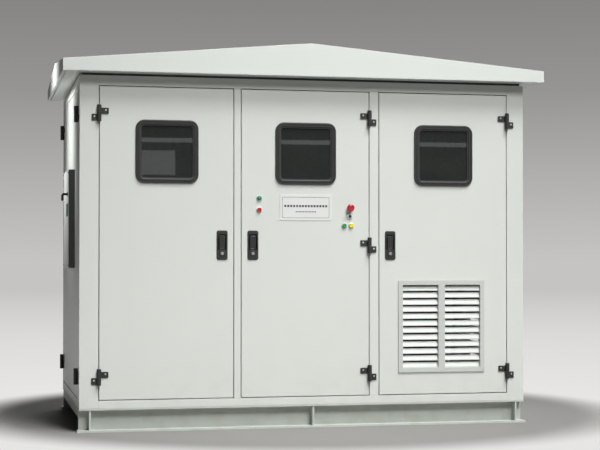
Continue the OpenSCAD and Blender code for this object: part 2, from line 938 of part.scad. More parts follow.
module mid_door_panel() {
    color("gainsboro") door_body(1);
}
module mid_window_frame() {
    color("black") window_frame(1);
}
module mid_window_glass() {
    color("darkslategray") window_glass(1);
}
module mid_lock_dish() {
    color("black") lock_dish(1);
}
module mid_hinge_leaves() {
    color("black") door_hinges(1);
}
module mid_lock_grip() {
    color("darkslategray") lock_grip(1);
}
module mid_lock_key() {
    color("silver") lock_key(1);
}

module right_door_panel() {
    color("gainsboro") door_body(2);
}
module right_window_frame() {
    color("black") window_frame(2);
}
module right_window_glass() {
    color("darkslategray") window_glass(2);
}
module right_lock_dish() {
    color("black") lock_dish(2);
}
module right_hinge_leaves() {
    color("black") door_hinges(2);
}
module right_lock_grip() {
    color("darkslategray") lock_grip(2);
}
module right_lock_key() {
    color("silver") lock_key(2);
}

module louvre_grille() {
    open_w = grille_w - 2 * grille_border;
    open_h = grille_h - 2 * grille_border;
    bank_w = (open_w - grille_bar) / 2;
    pitch = open_h / blade_count;
    mid_x = door_right_x + door_right_w / 2 + grille_shift;
    color("whitesmoke") translate([mid_x, front_y, grille_z]) {
        difference() {
            union() {
                upright_plate(grille_w, grille_h, 3, -grille_out, grille_out);
                upright_plate(open_w, open_h, 0.8, 0, grille_collar);
            }
            for (side = [-1, 1]) {
                translate([side * (bank_w + grille_bar) / 2, 0, 0])
                    upright_plate(bank_w - 6, open_h - 6, 1, -grille_out - nudge,
                        grille_out + grille_collar + 2 * nudge);
            }
        }
        for (side = [-1, 1], k = [0:blade_count - 1]) {
            translate([side * (bank_w + grille_bar) / 2, 8, (k + 0.5) * pitch - open_h / 2])
                rotate([blade_tilt, 0, 0]) cube([bank_w - 5, blade_l, blade_t], center = true);
        }
    }
}

module nameplate() {
    color("white") translate([door_mid_x + door_mid_w / 2, front_y, plate_z])
        upright_plate(plate_size[0], plate_size[1], 4, -plate_t, plate_t);
}

module control_bezels() {
    color("dimgray") for (k = [0:len(control_x) - 1]) {
        at_control(k) difference() {
            union() {
                rod_y(bezel_r, -bezel_out, bezel_out);
                rod_y(thread_r, 0, thread_depth);
            }
            rod_y(shank_r + slip, -bezel_out - nudge, bezel_out + thread_depth + 2 * nudge);
            if (k < 4) rod_y(bezel_r - 3, -bezel_out - nudge, bezel_out + nudge - gap_run);
        }
    }
}

module pilot_lens() {
    color("green") at_control(0) {
        rod_y(lens_r, -bezel_out - 3, bezel_out + 3 - gap_run);
        intersection() {
            translate([0, 2, 0]) sphere(r = bezel_r + 1);
            rod_y(lens_r, -bezel_out - 9, 8);
        }
        rod_y(shank_r, -gap_run - nudge, thread_depth);
    }
}

module button_red() {
    color("firebrick") push_button(1);
}
module button_green() {
    color("green") push_button(2);
}
module button_yellow() {
    color("gold") push_button(3);
}

module estop_button() {
    color("red") at_control(4) {
        rod_y(estop_r, -estop_out, 11);
        rod_y(12, -20, 8);
        rod_y(shank_r, -13, thread_depth + 5);
    }
}

module key_switch() {
    color("darkslategray") at_control(5) difference() {
        rod_y(shank_r, -bezel_out - 3, bezel_out + thread_depth);
        translate([0, -bezel_out - 3, 0]) key_slot();
    }
}

module side_leaf_front() {
    color("gainsboro") {
        at_side(side_meet_y) pan(side_front_w, door_t, door_h, door_lip);
        at_side_hinges(true) door_half_hinge();
    }
}

module side_leaf_rear() {
    color("gainsboro") {
        at_side(rear_y - post_d - door_gap) pan(side_rear_w, door_t, door_h, door_lip);
        at_side_hinges(false) door_half_hinge();
    }
}

module side_box() {
    color("dimgray") translate([left_x - side_box_t + side_wall, side_box_y, side_box_z]) difference() {
        cube([side_box_t - side_wall, side_box_l, side_box_h]);
        translate([-nudge, side_wall, side_wall])
            cube([side_box_t - 2 * side_wall + nudge, side_box_l - 2 * side_wall,
                side_box_h - 2 * side_wall]);
    }
}

module side_box_cover() {
    inset = 14;
    cover_x = left_x - side_box_t;
    color("gainsboro") {
        difference() {
            translate([cover_x, side_box_y, side_box_z]) cube([side_wall, side_box_l, side_box_h]);
            translate([cover_x, side_handle_y, side_handle_z])
                rod_x(handle_r + slip, -nudge, side_wall + 2 * nudge);
        }
        for (y = [inset, side_box_l - inset], z = [inset, side_box_h - inset]) {
            translate([cover_x, side_box_y + y, side_box_z + z]) rod_x(screw_r, -2 * screw_t, 2 * screw_t);
        }
    }
}

module side_handle() {
    out = 30;
    arm = [10, 16, 40];
    color("black") translate([left_x - side_box_t, side_handle_y, side_handle_z]) {
        rod_x(handle_r, -out, out + side_box_t - 2 * side_wall - gap_run);
        rod_x(2 * handle_r, -4, 4 - gap_run);
        translate([-out, 0, 0]) rod_x(9, -6, 12);
        translate([-out - arm[0] / 2, -arm[1] / 2, -arm[2]]) cube(arm);
    }
}

base_beams();
beam_stiffeners();
base_cross_members();
floor_plate();
corner_posts();
door_mullions();
frame_rails();
door_stops();
bay_partitions();
rear_panels();
right_side_panel();
panel_fasteners();
roof_seal();
roof_soffit();
roof_cap();
frame_hinges();
transformer_core();
transformer_coils();
transformer_clamps();
switchgear_unit();
lv_mounting_plate();
lv_busbars();
lv_breakers();
fan_housing();
fan_rotor();
left_door_panel();
left_window_frame();
left_window_glass();
left_lock_dish();
left_hinge_leaves();
left_lock_grip();
left_lock_key();
mid_door_panel();
mid_window_frame();
mid_window_glass();
mid_lock_dish();
mid_hinge_leaves();
mid_lock_grip();
mid_lock_key();
right_door_panel();
right_window_frame();
right_window_glass();
right_lock_dish();
right_hinge_leaves();
right_lock_grip();
right_lock_key();
louvre_grille();
nameplate();
control_bezels();
pilot_lens();
button_red();
button_green();
button_yellow();
estop_button();
key_switch();
side_leaf_front();
side_leaf_rear();
side_box();
side_box_cover();
side_handle();
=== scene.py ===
# %% [markdown]
# # An outdoor substation kiosk, finished piece by piece
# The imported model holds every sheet, tube and hinge of the kiosk at its true size.
# This notebook loads it as a fixed frame and builds the finished pieces on it: folded
# sheet metal, rubber window frames, locks, hinges, a louvre grille and the controls.

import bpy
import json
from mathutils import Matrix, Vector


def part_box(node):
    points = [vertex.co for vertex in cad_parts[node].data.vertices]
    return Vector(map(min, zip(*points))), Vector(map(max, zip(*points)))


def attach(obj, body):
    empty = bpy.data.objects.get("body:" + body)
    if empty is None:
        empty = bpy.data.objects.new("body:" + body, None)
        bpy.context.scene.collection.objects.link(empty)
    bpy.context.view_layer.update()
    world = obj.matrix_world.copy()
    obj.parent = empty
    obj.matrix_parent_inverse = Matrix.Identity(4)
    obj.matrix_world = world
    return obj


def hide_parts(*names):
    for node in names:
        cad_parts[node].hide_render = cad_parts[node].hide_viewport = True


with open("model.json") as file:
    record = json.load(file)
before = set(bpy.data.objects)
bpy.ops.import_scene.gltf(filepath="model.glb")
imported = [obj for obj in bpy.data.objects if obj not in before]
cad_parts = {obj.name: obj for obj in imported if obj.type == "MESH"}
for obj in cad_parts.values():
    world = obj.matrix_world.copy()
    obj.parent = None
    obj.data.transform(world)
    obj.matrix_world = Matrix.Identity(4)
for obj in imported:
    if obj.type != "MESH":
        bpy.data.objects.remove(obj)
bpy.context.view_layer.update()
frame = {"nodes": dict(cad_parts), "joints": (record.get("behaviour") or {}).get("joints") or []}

# %% [markdown]
# ## Hands
# Modelling by hand is always the same round: select one piece, open it, pick some of its
# faces, edges or points, and run a tool on them. Scripts have no mouse, so the picking is
# done with a test on where a face is and which way it looks. One helper does each step.

# %% Select, open and close a piece
import json
import math

import bmesh
import bpy
from mathutils import Matrix, Vector

mm = 0.001


def only(piece):
    """Selects one piece and nothing else."""
    bpy.ops.object.select_all(action="DESELECT")
    piece.select_set(True)
    bpy.context.view_layer.objects.active = piece
    return piece


def edit(piece):
    """Opens a piece in edit mode."""
    only(piece)
    bpy.ops.object.mode_set(mode="EDIT")


def close():
    """Leaves edit mode."""
    bpy.ops.object.mode_set(mode="OBJECT")


def pick(kind, test):
    """Selects the faces, edges or points of the open piece that pass test(place, way)."""
    bpy.ops.mesh.select_mode(type=kind)
    bpy.ops.mesh.select_all(action="DESELECT")
    mesh = bmesh.from_edit_mesh(bpy.context.object.data)
    if kind == "FACE":
        found = [(f, f.calc_center_median(), f.normal) for f in mesh.faces]
    elif kind == "EDGE":
        found = [(e, (e.verts[0].co + e.verts[1].co) / 2, e.verts[1].co - e.verts[0].co)
                 for e in mesh.edges]
    else:
        found = [(v, v.co, v.normal) for v in mesh.verts]
    chosen = [item for item, place, way in found if test(place, way)]
    for item in chosen:
        item.select_set(True)
    mesh.select_flush_mode()
    bmesh.update_edit_mesh(bpy.context.object.data)
    return len(chosen)


def take_all():
    """Selects all of the open piece."""
    bpy.ops.mesh.select_all(action="SELECT")


def drop_faces():
    """Deletes the picked faces."""
    bpy.ops.mesh.delete(type="FACE")


def inset(width, depth=0.0, each=False):
    """Draws a smaller outline inside the picked faces, raised by depth."""
    bpy.ops.mesh.inset(thickness=width, depth=depth, use_individual=each)


def settle():
    """Writes the place, turn and size of the selected piece into its mesh."""
    bpy.ops.object.transform_apply(location=True, rotation=True, scale=True)


def push(x=0.0, y=0.0, z=0.0):
    """Extrudes the picked faces and moves them."""
    bpy.ops.mesh.extrude_region_move(TRANSFORM_OT_translate={"value": (x, y, z)})


def roll_rim(width):
    """Rounds the outline of the picked faces."""
    bpy.ops.mesh.region_to_loop()
    bpy.ops.mesh.bevel(offset=width, segments=4, affect="EDGES")


def bridge():
    """Joins the two open rings of the piece with new faces."""
    bpy.ops.mesh.select_mode(type="EDGE")
    bpy.ops.mesh.select_non_manifold()
    bpy.ops.mesh.bridge_edge_loops()


def look_out():
    """Turns every face of the open piece outwards."""
    take_all()
    bpy.ops.mesh.normals_make_consistent(inside=False)


# %% [markdown]
# A block is a cube set between two corners, often with its four upright edges rolled round.
# A turned piece starts as a disc that is extruded and widened or narrowed step by step, the
# way a lathe hand thinks of it. Both are starts, and every piece goes on from there.

# %% Starts: a block and a turned piece
def block(name, low, high, corner=0.0, along=1, segments=6):
    """A block between two corners. corner rounds the four edges that run along one axis."""
    low, high = Vector(low), Vector(high)
    bpy.ops.object.select_all(action="DESELECT")
    bpy.ops.mesh.primitive_cube_add(size=1, location=(low + high) / 2)
    piece = bpy.context.object
    piece.name = piece.data.name = name
    piece.scale = high - low
    settle()
    if corner:
        edit(piece)
        pick("EDGE", lambda place, way: abs(way[along]) > 0.99 * way.length)
        bpy.ops.mesh.bevel(offset=corner, segments=segments, affect="EDGES")
        close()
    return piece


def in_mm(*steps):
    """The steps of a turned piece, written in millimetres."""
    return [(radius * mm, out * mm) for radius, out in steps]


def turned(name, centre, steps, sides=32, hollow=False):
    """A turned piece on a face that looks to -Y. Each step is (radius, how far out)."""
    centre = Vector(centre)
    radius, out = steps[0]
    bpy.ops.object.select_all(action="DESELECT")
    bpy.ops.mesh.primitive_circle_add(vertices=sides, radius=radius, fill_type="NGON",
                                      location=centre - Vector((0, out, 0)),
                                      rotation=(math.radians(90), 0, 0))
    piece = bpy.context.object
    piece.name = piece.data.name = name
    settle()
    edit(piece)
    bpy.ops.mesh.select_mode(type="FACE")
    take_all()
    for wider, further in steps[1:]:
        push(y=out - further)
        share = wider / radius
        bpy.ops.transform.resize(value=(share, 1, share), center_override=centre)
        radius, out = wider, further
    if hollow:
        drop_faces()
        start = centre.y - steps[0][1]
        pick("FACE", lambda place, way: abs(place.y - start) < 0.01 * mm and abs(way.y) > 0.9)
        drop_faces()
        bridge()
    look_out()
    close()
    return piece


# %% [markdown]
# Three finishing moves come back all the time: one piece cut with another, edges eased with
# a small bevel, and a copy with a mesh of its own. Nothing real has a knife-sharp edge, and
# the thin line of light on an eased edge is what makes painted metal look like metal.

# %% Moves: cut, ease, join and copy
def modify(piece, kind, **settings):
    """Puts one modifier on a piece, with its settings, and applies it."""
    only(piece)
    bpy.ops.object.modifier_add(type=kind)
    modifier = piece.modifiers[-1]
    for key, value in settings.items():
        setattr(modifier, key, value)
    bpy.ops.object.modifier_apply(modifier=modifier.name)
    return piece


def carve(piece, *cutters):
    """Cuts the cutters out of a piece and throws them away."""
    for cutter in cutters:
        modify(piece, "BOOLEAN", operation="DIFFERENCE", solver="EXACT", object=cutter)
        bpy.data.objects.remove(cutter)
    return piece


def ease(piece, width, segments=2, angle=30):
    """Rounds every edge that is sharper than the angle."""
    return modify(piece, "BEVEL", width=width, segments=segments, limit_method="ANGLE",
                  angle_limit=math.radians(angle))


def join(name, pieces):
    """Makes several meshes one piece."""
    only(pieces[0])
    for piece in pieces[1:]:
        piece.select_set(True)
    if len(pieces) > 1:
        bpy.ops.object.join()
    pieces[0].name = pieces[0].data.name = name
    return pieces[0]


def twin(piece, name, matrix):
    """A copy with its own mesh, put in its place by a matrix."""
    copy = piece.copy()
    copy.data = piece.data.copy()
    copy.name = copy.data.name = name
    bpy.context.collection.objects.link(copy)
    copy.data.transform(matrix)
    if matrix.determinant() < 0:
        copy.data.flip_normals()
    return copy


def move(x=0.0, y=0.0, z=0.0):
    """A matrix that only moves."""
    return Matrix.Translation((x, y, z))


# %% [markdown]
# ## Shader maths
# A finish is a small network of nodes. Written out node by node it is unreadable, so a
# socket is wrapped in a class on which plain arithmetic works, and one method adds any
# other node. A finish then reads like a recipe.

# %% Sockets that add and multiply, and the bench where a finish is mixed
class Level:
    """A socket that carries one number. Arithmetic on it adds Math nodes."""

    def __init__(self, finish, socket):
        self.finish, self.socket = finish, socket

    def math(self, operation, first, second):
        return self.finish.node("ShaderNodeMath", {"operation": operation}, {0: first, 1: second})

    def __add__(self, other):
        return self.math("ADD", self, other)

    def __rsub__(self, other):
        return self.math("SUBTRACT", other, self)

    def __mul__(self, other):
        return self.math("MULTIPLY", self, other)

    __radd__ = __add__


class Finish:
    """One material, mixed from its nodes."""

    def __init__(self, name, **constants):
        self.material = bpy.data.materials.new(name)
        self.material.use_nodes = True
        self.tree = self.material.node_tree
        self.shader = self.tree.nodes["Principled BSDF"]
        for socket, value in constants.items():
            self.set(socket.replace("_", " "), value)

    def set(self, socket, value):
        """Gives a socket of the shader a constant or a link."""
        if isinstance(value, Level):
            self.tree.links.new(value.socket, self.shader.inputs[socket])
        elif isinstance(value, tuple) and len(value) == 3:
            self.shader.inputs[socket].default_value = (*value, 1)
        else:
            self.shader.inputs[socket].default_value = value

    def node(self, kind, settings=None, inputs=None, output=0):
        """Adds any node: its settings first, then its sockets, and hands back one output."""
        made = self.tree.nodes.new(kind)
        for key, value in (settings or {}).items():
            setattr(made, key, value)
        for key, value in (inputs or {}).items():
            if isinstance(value, Level):
                self.tree.links.new(value.socket, made.inputs[key])
            else:
                made.inputs[key].default_value = value
        return Level(self, made.outputs[output])

    def place(self, stretch=(1, 1, 1)):
        """The point on the piece, in metres, stretched where a pattern is longer one way."""
        point = self.node("ShaderNodeTexCoord", output="Object")
        if stretch == (1, 1, 1):
            return point
        return self.node("ShaderNodeMapping", {"vector_type": "POINT"},
                         {"Vector": point, "Scale": stretch})

    def noise(self, scale, detail=2.0, stretch=(1, 1, 1)):
        """Soft noise between 0 and 1, with about scale bumps to the metre."""
        return self.node("ShaderNodeTexNoise", None,
                         {"Vector": self.place(stretch), "Scale": scale, "Detail": detail})

    def between(self, level, low, high):
        """0 below low, 1 above high, and a smooth rise between them."""
        return self.node("ShaderNodeMapRange", {"interpolation_type": "SMOOTHSTEP"},
                         {"Value": level, "From Min": low, "From Max": high})

    def blend(self, share, first, second):
        """A colour that goes from first to second with the share."""
        first, second = [c if isinstance(c, Level) else (*c, 1) for c in (first, second)]
        return self.node("ShaderNodeMix", {"data_type": "RGBA"}, {0: share, 6: first, 7: second},
                         output=2)

    def bump(self, height, depth, under=None):
        """A fine relief of that depth in metres. under is a relief that it lies on."""
        inputs = {"Strength": 1.0, "Distance": depth, "Height": height}
        if under is not None:
            inputs["Normal"] = under
        return self.node("ShaderNodeBump", None, inputs)


def shade(red, green, blue):
    """A screen colour from 0 to 255 as the linear colour that shaders work in."""
    return tuple((c / 255 / 12.92) if c <= 10 else ((c / 255 + 0.055) / 1.055) ** 2.4
                 for c in (red, green, blue))


# %% [markdown]
# ## Stove enamel
# The sheet metal is sprayed light grey and baked. Such enamel is nearly even, with a fine
# orange-peel skin, cloudy patches a shade apart, and road dust low down where rain splashes.
# Noise in three sizes on the object's own coordinates gives all of it with no seams.

# %% Enamels for the body, the roof, the skid and the grille
def enamel(name, colour, dust=0.5, gloss=0.42, peel=0.00025):
    """Baked paint over sheet steel, dustier near the ground."""
    finish = Finish(name, Coat_Weight=0.12, Coat_Roughness=0.3)
    cloud = finish.noise(1.7, detail=3)
    streak = finish.noise(9, detail=3, stretch=(1, 1, 0.12))
    height = finish.node("ShaderNodeSeparateXYZ", None, {0: finish.place()}, output=2)
    low_down = 1 - finish.between(height, 0.02, 0.42)
    grime = low_down * finish.between(finish.noise(14, detail=5), 0.35, 0.75) * dust
    darker = tuple(0.93 * c for c in colour)
    paint = finish.blend(cloud * 0.55 + streak * 0.35, colour, darker)
    finish.set("Base Color", finish.blend(grime, paint, shade(158, 150, 134)))
    finish.set("Roughness", gloss + cloud * 0.10 + grime * 0.35)
    skin = finish.bump(finish.noise(420, detail=1), peel)
    finish.set("Normal", finish.bump(finish.noise(3.1, detail=1), 0.0012, under=skin))
    return finish


finishes = {
    "body_paint": enamel("body_enamel", shade(207, 211, 205), dust=0.12),
    "roof_paint": enamel("roof_enamel", shade(214, 219, 214), dust=0.0, gloss=0.38),
    "skid_paint": enamel("skid_enamel", shade(186, 192, 185), dust=0.3, gloss=0.5),
    "grille_paint": enamel("grille_enamel", shade(190, 194, 189), dust=0.2, gloss=0.4),
    "box_grey": enamel("control_box_enamel", shade(78, 84, 77), dust=0.0, gloss=0.45),
}
print("enamels:", sorted(finishes))

# %% [markdown]
# ## Bare and dark finishes
# Hinges wear black powder coat, rough at the scale of sand. Rubber and nylon are smoother
# and almost black, and catch soft highlights. Galvanised sheet shows zinc crystals, which a
# Voronoi pattern draws well, and copper, core steel and cast resin fill the inside.

# %% Powder coat, rubber, plastics and metals
def grained(name, colour, rough, scale, depth, spread=0.25):
    """A dense material with a fine grain in its skin and its colour."""
    finish = Finish(name)
    grain = finish.noise(scale, detail=2)
    patch = finish.noise(6, detail=3)
    lighter = tuple(min(1.0, (1 + spread) * c) for c in colour)
    finish.set("Base Color", finish.blend(patch * 0.6 + grain * 0.4, colour, lighter))
    finish.set("Roughness", rough + patch * 0.12)
    finish.set("Normal", finish.bump(grain, depth))
    return finish


def galvanised(name, colour):
    """Zinc-dipped sheet with its crystals."""
    finish = Finish(name, Metallic=0.9)
    crystal = finish.node("ShaderNodeTexVoronoi", None, {"Vector": finish.place(), "Scale": 90.0},
                          output=1)
    grey = finish.node("ShaderNodeRGBToBW", None, {0: crystal})
    finish.set("Base Color", finish.blend(grey * 0.6, colour, tuple(0.72 * c for c in colour)))
    finish.set("Roughness", 0.34 + grey * 0.2)
    finish.set("Normal", finish.bump(grey, 0.00008))
    return finish


def brushed(name, colour, rough=0.3, stretch=(1, 1, 0.05)):
    """Bare metal with fine lines drawn along it."""
    finish = Finish(name, Metallic=1.0)
    lines = finish.noise(700, detail=2, stretch=stretch)
    finish.set("Base Color", finish.blend(lines * 0.5, colour, tuple(0.8 * c for c in colour)))
    finish.set("Roughness", rough + lines * 0.14)
    finish.set("Normal", finish.bump(lines, 0.00003))
    return finish


finishes.update({
    "hinge_black": grained("black_powder_coat", shade(32, 33, 31), 0.5, 900, 0.00012),
    "lock_black": grained("black_nylon", shade(34, 35, 34), 0.36, 1400, 0.00005),
    "seal_rubber": grained("window_rubber", shade(38, 40, 38), 0.42, 700, 0.00006),
    "switch_dark": grained("dark_switch_plastic", shade(28, 44, 40), 0.3, 1200, 0.00003),
    "bezel_grey": grained("bezel_plastic", shade(206, 209, 205), 0.3, 1200, 0.00003),
    "case_paint": grained("switchgear_paint", shade(196, 199, 196), 0.45, 500, 0.00012, spread=0.06),
    "breaker_plastic": grained("breaker_casing", shade(66, 68, 70), 0.45, 900, 0.00005),
    "fan_plastic": grained("fan_nylon", shade(40, 41, 43), 0.4, 900, 0.00005),
    "clamp_paint": grained("clamp_paint", shade(84, 98, 112), 0.45, 500, 0.00012, spread=0.1),
    "coil_resin": grained("cast_resin", shade(104, 48, 38), 0.4, 260, 0.00015, spread=0.15),
    "zinc_sheet": galvanised("galvanised_sheet", shade(190, 194, 196)),
    "fastener_zinc": brushed("zinc_plated_screw", shade(206, 206, 200), 0.28),
    "lock_metal": brushed("chromed_key", shade(235, 235, 232), 0.16),
    "busbar_copper": brushed("copper_bar", shade(214, 128, 88), 0.28),
    "core_steel": brushed("core_laminations", shade(96, 98, 104), 0.42, stretch=(1, 1, 6)),
})
print("finishes so far:", len(finishes))

# %% [markdown]
# Push buttons and lamp lenses are clear plastic over a coloured core. A strong base colour,
# a little light let through and a coat of clear gloss are close to that, and faint
# scratches in the roughness stop them looking like sweets.

# %% Coloured plastics, the nameplate and the window glass
def gloss_plastic(name, colour, through=0.0, rough=0.2):
    """Glossy moulded plastic, a little handled."""
    finish = Finish(name, Coat_Weight=0.6, Coat_Roughness=0.08, Subsurface_Weight=through,
                    Subsurface_Scale=0.004)
    wear = finish.noise(160, detail=4)
    finish.set("Base Color", finish.blend(wear * 0.5, colour, tuple(0.78 * c for c in colour)))
    finish.set("Roughness", rough + wear * 0.15)
    finish.set("Normal", finish.bump(wear, 0.00003))
    return finish


def smoked_glass(name):
    """Tinted toughened glass with a little dust on it. It lets part of the light through."""
    finish = Finish(name, IOR=1.62, Specular_IOR_Level=0.75)
    dust = finish.noise(22, detail=5)
    wipe = finish.noise(5, detail=2, stretch=(1, 1, 2.4))
    finish.set("Base Color", finish.blend(wipe * 0.5, shade(38, 42, 39), shade(58, 64, 60)))
    finish.set("Roughness", dust * 0.015 + 0.004)
    finish.set("Alpha", 0.62 + dust * 0.16)
    return finish


finishes.update({
    "lamp_green": gloss_plastic("green_lens", shade(10, 140, 84), through=0.15),
    "push_red": gloss_plastic("red_button", shade(180, 22, 34)),
    "push_green": gloss_plastic("green_button", shade(14, 150, 66)),
    "push_yellow": gloss_plastic("yellow_button", shade(226, 214, 40)),
    "plate_white": gloss_plastic("engraved_acrylic", shade(220, 222, 219), rough=0.3),
    "window_glass": smoked_glass("smoked_window_glass"),
})
ink = grained("engraving_ink", shade(52, 54, 54), 0.5, 900, 0.00002)
tag_green = gloss_plastic("green_tag_plastic", shade(12, 104, 76), rough=0.35)
print("finishes:", len(finishes))


# %% [markdown]
# ## Handing a piece over
# Every finished piece goes through one door. It gets its finish, is shaded smooth with its
# folds kept crisp, rides on the body that carries it, takes its finish from a material slot
# unless it is given one, and hides the solids of the frame that it stands for.

# %% Finish, shade and hand over
def hand_over(piece, body, slot, *stands_for, finish=None, angle=42):
    """Shades a piece, gives it its finish and fixes it to its body."""
    only(piece)
    settle()
    bpy.ops.object.shade_smooth_by_angle(angle=math.radians(angle))
    modify(piece, "WEIGHTED_NORMAL", keep_sharp=True)
    piece.data.materials.clear()
    piece.data.materials.append((finish or finishes[slot]).material)
    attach(piece, body)
    if stands_for:
        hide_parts(*stands_for)
    print(f"{piece.name}: {len(piece.data.polygons)} faces on {body}")
    return piece


for node in frame["nodes"].values():
    for place in node.material_slots:
        place.material = finishes[place.material.name].material

# %% [markdown]
# ## Folded sheet metal
# Doors, panels, posts and beams are flat sheets with bent edges, so their shape in the frame
# is right and only their edges are too sharp. Modelling them again would gain nothing. A
# copy is merged from loose triangles to whole faces, its long bends are rolled to the
# radius of a press brake, and every other edge is eased a little.

# %% Copy a sheet-metal solid and roll its bends
def merged_copy(node, name):
    """A copy of a solid of the frame, with its triangles merged to whole faces."""
    piece = bpy.data.objects.new(name, frame["nodes"][node].data.copy())
    piece.data.name = name
    bpy.context.collection.objects.link(piece)
    only(piece)
    bpy.ops.mesh.customdata_custom_splitnormals_clear()
    edit(piece)
    take_all()
    bpy.ops.mesh.remove_doubles(threshold=0.005 * mm)
    bpy.ops.mesh.dissolve_limited(angle_limit=math.radians(0.5))
    close()
    return piece


def roll_bends(piece, face_way, radius, shortest=0.5):
    """Rolls the long edges round the faces that look one way, as a press brake bends them."""
    edit(piece)
    bpy.ops.mesh.select_mode(type="EDGE")
    bpy.ops.mesh.select_all(action="DESELECT")
    mesh = bmesh.from_edit_mesh(piece.data)
    face_way = Vector(face_way)
    for edge in mesh.edges:
        ways = [face.normal.dot(face_way) for face in edge.link_faces]
        square = len(ways) == 2 and max(ways) > 0.99 and abs(min(ways)) < 0.01
        if edge.calc_length() > shortest and square:
            edge.select_set(edge.is_convex)
    bmesh.update_edit_mesh(piece.data)
    bpy.ops.mesh.bevel(offset=radius, segments=3, affect="EDGES")
    close()


bend_r = 2.4 * mm
soft_edge = 0.7 * mm
folded = [
    ("left_door_skin", "left_door_panel", "left_door", (0, -1, 0)),
    ("mid_door_skin", "mid_door_panel", "mid_door", (0, -1, 0)),
    ("right_door_skin", "right_door_panel", "right_door", (0, -1, 0)),
    ("rear_skins", "rear_panels", "cabinet", (0, 1, 0)),
    ("right_side_skin", "right_side_panel", "cabinet", (1, 0, 0)),
]
for name, node, body, way in folded:
    skin = merged_copy(node, name)
    roll_bends(skin, way, bend_r)
    hand_over(ease(skin, soft_edge), body, "body_paint", node)

# %% [markdown]
# The frame of the kiosk and the skid under it are rolled and welded sections, with larger
# radii on their edges than bent sheet has.

# %% Posts, rails, mullions and the steel skid
sections = [
    ("post_tubes", "corner_posts", "body_paint", 2.5 * mm),
    ("mullion_tubes", "door_mullions", "body_paint", 1.4 * mm),
    ("rail_tubes", "frame_rails", "body_paint", 1.4 * mm),
    ("skid_beams", "base_beams", "skid_paint", 1.8 * mm),
    ("skid_stiffeners", "beam_stiffeners", "skid_paint", 1.2 * mm),
    ("skid_cross_beams", "base_cross_members", "skid_paint", 1.5 * mm),
]
for name, node, slot, edge in sections:
    hand_over(ease(merged_copy(node, name), edge), "cabinet", slot, node)

# %% [markdown]
# ## The roof
# The roof is one sheet folded to a very flat tent, with upright fascias and a small lip
# turned in at the bottom to stiffen them. A block is the start. Its top is divided once, and
# the middle of each side and the centre are lifted, which gives four planes that stay flat.

# %% Fold the roof from a block
fascia_h = 60 * mm
front_rise = 113 * mm
side_rise = 67 * mm
hem = 16 * mm
roof_sheet = 3 * mm

roof_low, roof_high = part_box("roof_cap")
eaves_z = roof_low.z + fascia_h
roof = block("roof_shell", roof_low, (roof_high.x, roof_high.y, eaves_z))
edit(roof)
pick("FACE", lambda place, way: way.z > 0.9)
bpy.ops.mesh.subdivide(number_cuts=1)
for axis, rise in ((0, front_rise), (1, side_rise)):
    pick("VERT", lambda place, way: abs(place[axis]) < 1 * mm and place.z > eaves_z - 1 * mm)
    bpy.ops.transform.translate(value=(0, 0, rise))
pick("FACE", lambda place, way: way.z < -0.9)
inset(hem)
drop_faces()
close()

modify(roof, "SOLIDIFY", thickness=roof_sheet, offset=-1)
hand_over(ease(roof, 1.8 * mm, segments=3, angle=6), "cabinet", "roof_paint", "roof_cap", angle=30)

# %% [markdown]
# The soffit closes the roof from below. It lies inside the turned lip, and a cushion of black
# seal rubber keeps the roof off the frame.

# %% Soffit and seal
soffit_low, soffit_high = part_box("roof_soffit")
inside_lip = Vector((hem, hem, 0))
soffit = block("soffit_sheet", soffit_low + inside_lip, soffit_high - inside_lip)
hand_over(ease(soffit, soft_edge), "cabinet", "roof_paint", "roof_soffit")
seal = ease(merged_copy("roof_seal", "roof_seal_strip"), 2 * mm, segments=3)
hand_over(seal, "cabinet", "seal_rubber", "roof_seal")

# %% [markdown]
# ## Windows
# Each window is a pane held by one moulded rubber profile. The profile is a ring with soft
# shoulders, and a locking strip pressed into a groove round its face keeps it spread. The
# ring is a rounded block, inset, stepped down to a thin lip and bridged, and its groove is
# made by insets that go down and up again. The groove for the glass is cut with a slightly
# larger pane.

# %% Mould one window frame
band = 30 * mm
window_r = 45 * mm
collar = 16 * mm
shoulder = 4 * mm
glass_bite = 8 * mm
play = 0.2 * mm
step_w = 6 * mm
step_in = 5.5 * mm

door_face_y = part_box("left_door_panel")[0].y
frame_low, frame_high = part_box("left_window_frame")
rubber = block("left_window_rubber", frame_low, (frame_high.x, door_face_y, frame_high.z), window_r)
edit(rubber)
pick("FACE", lambda place, way: way.y < -0.9)
inset(band - step_w)
push(y=step_in)
inset(step_w)
drop_faces()
pick("FACE", lambda place, way: way.y > 0.9)
inset(band - collar)
push(y=frame_high.y - door_face_y)
inset(collar)
drop_faces()
bridge()
look_out()


def band_face(place, way):
    """True for the flat face of the band, in front."""
    return way.y < -0.99 and place.y < frame_low.y + 0.1 * mm


pick("FACE", band_face)
roll_rim(shoulder)
pick("FACE", band_face)
inset(4.5 * mm)
inset(1.1 * mm, -2.2 * mm)
inset(1.1 * mm, 2.6 * mm)
close()

pane_low, pane_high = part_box("left_window_glass")
pane_r = window_r - band + glass_bite
grow = Vector((play, play, play))
carve(rubber, block("pane_groove", pane_low - grow, pane_high + grow, pane_r))
pane = block("left_window_pane", pane_low, pane_high, pane_r)
edit(pane)
pick("FACE", lambda place, way: abs(way.y) > 0.9)
bpy.ops.mesh.bevel(offset=0.6 * mm, segments=2, affect="EDGES")
close()

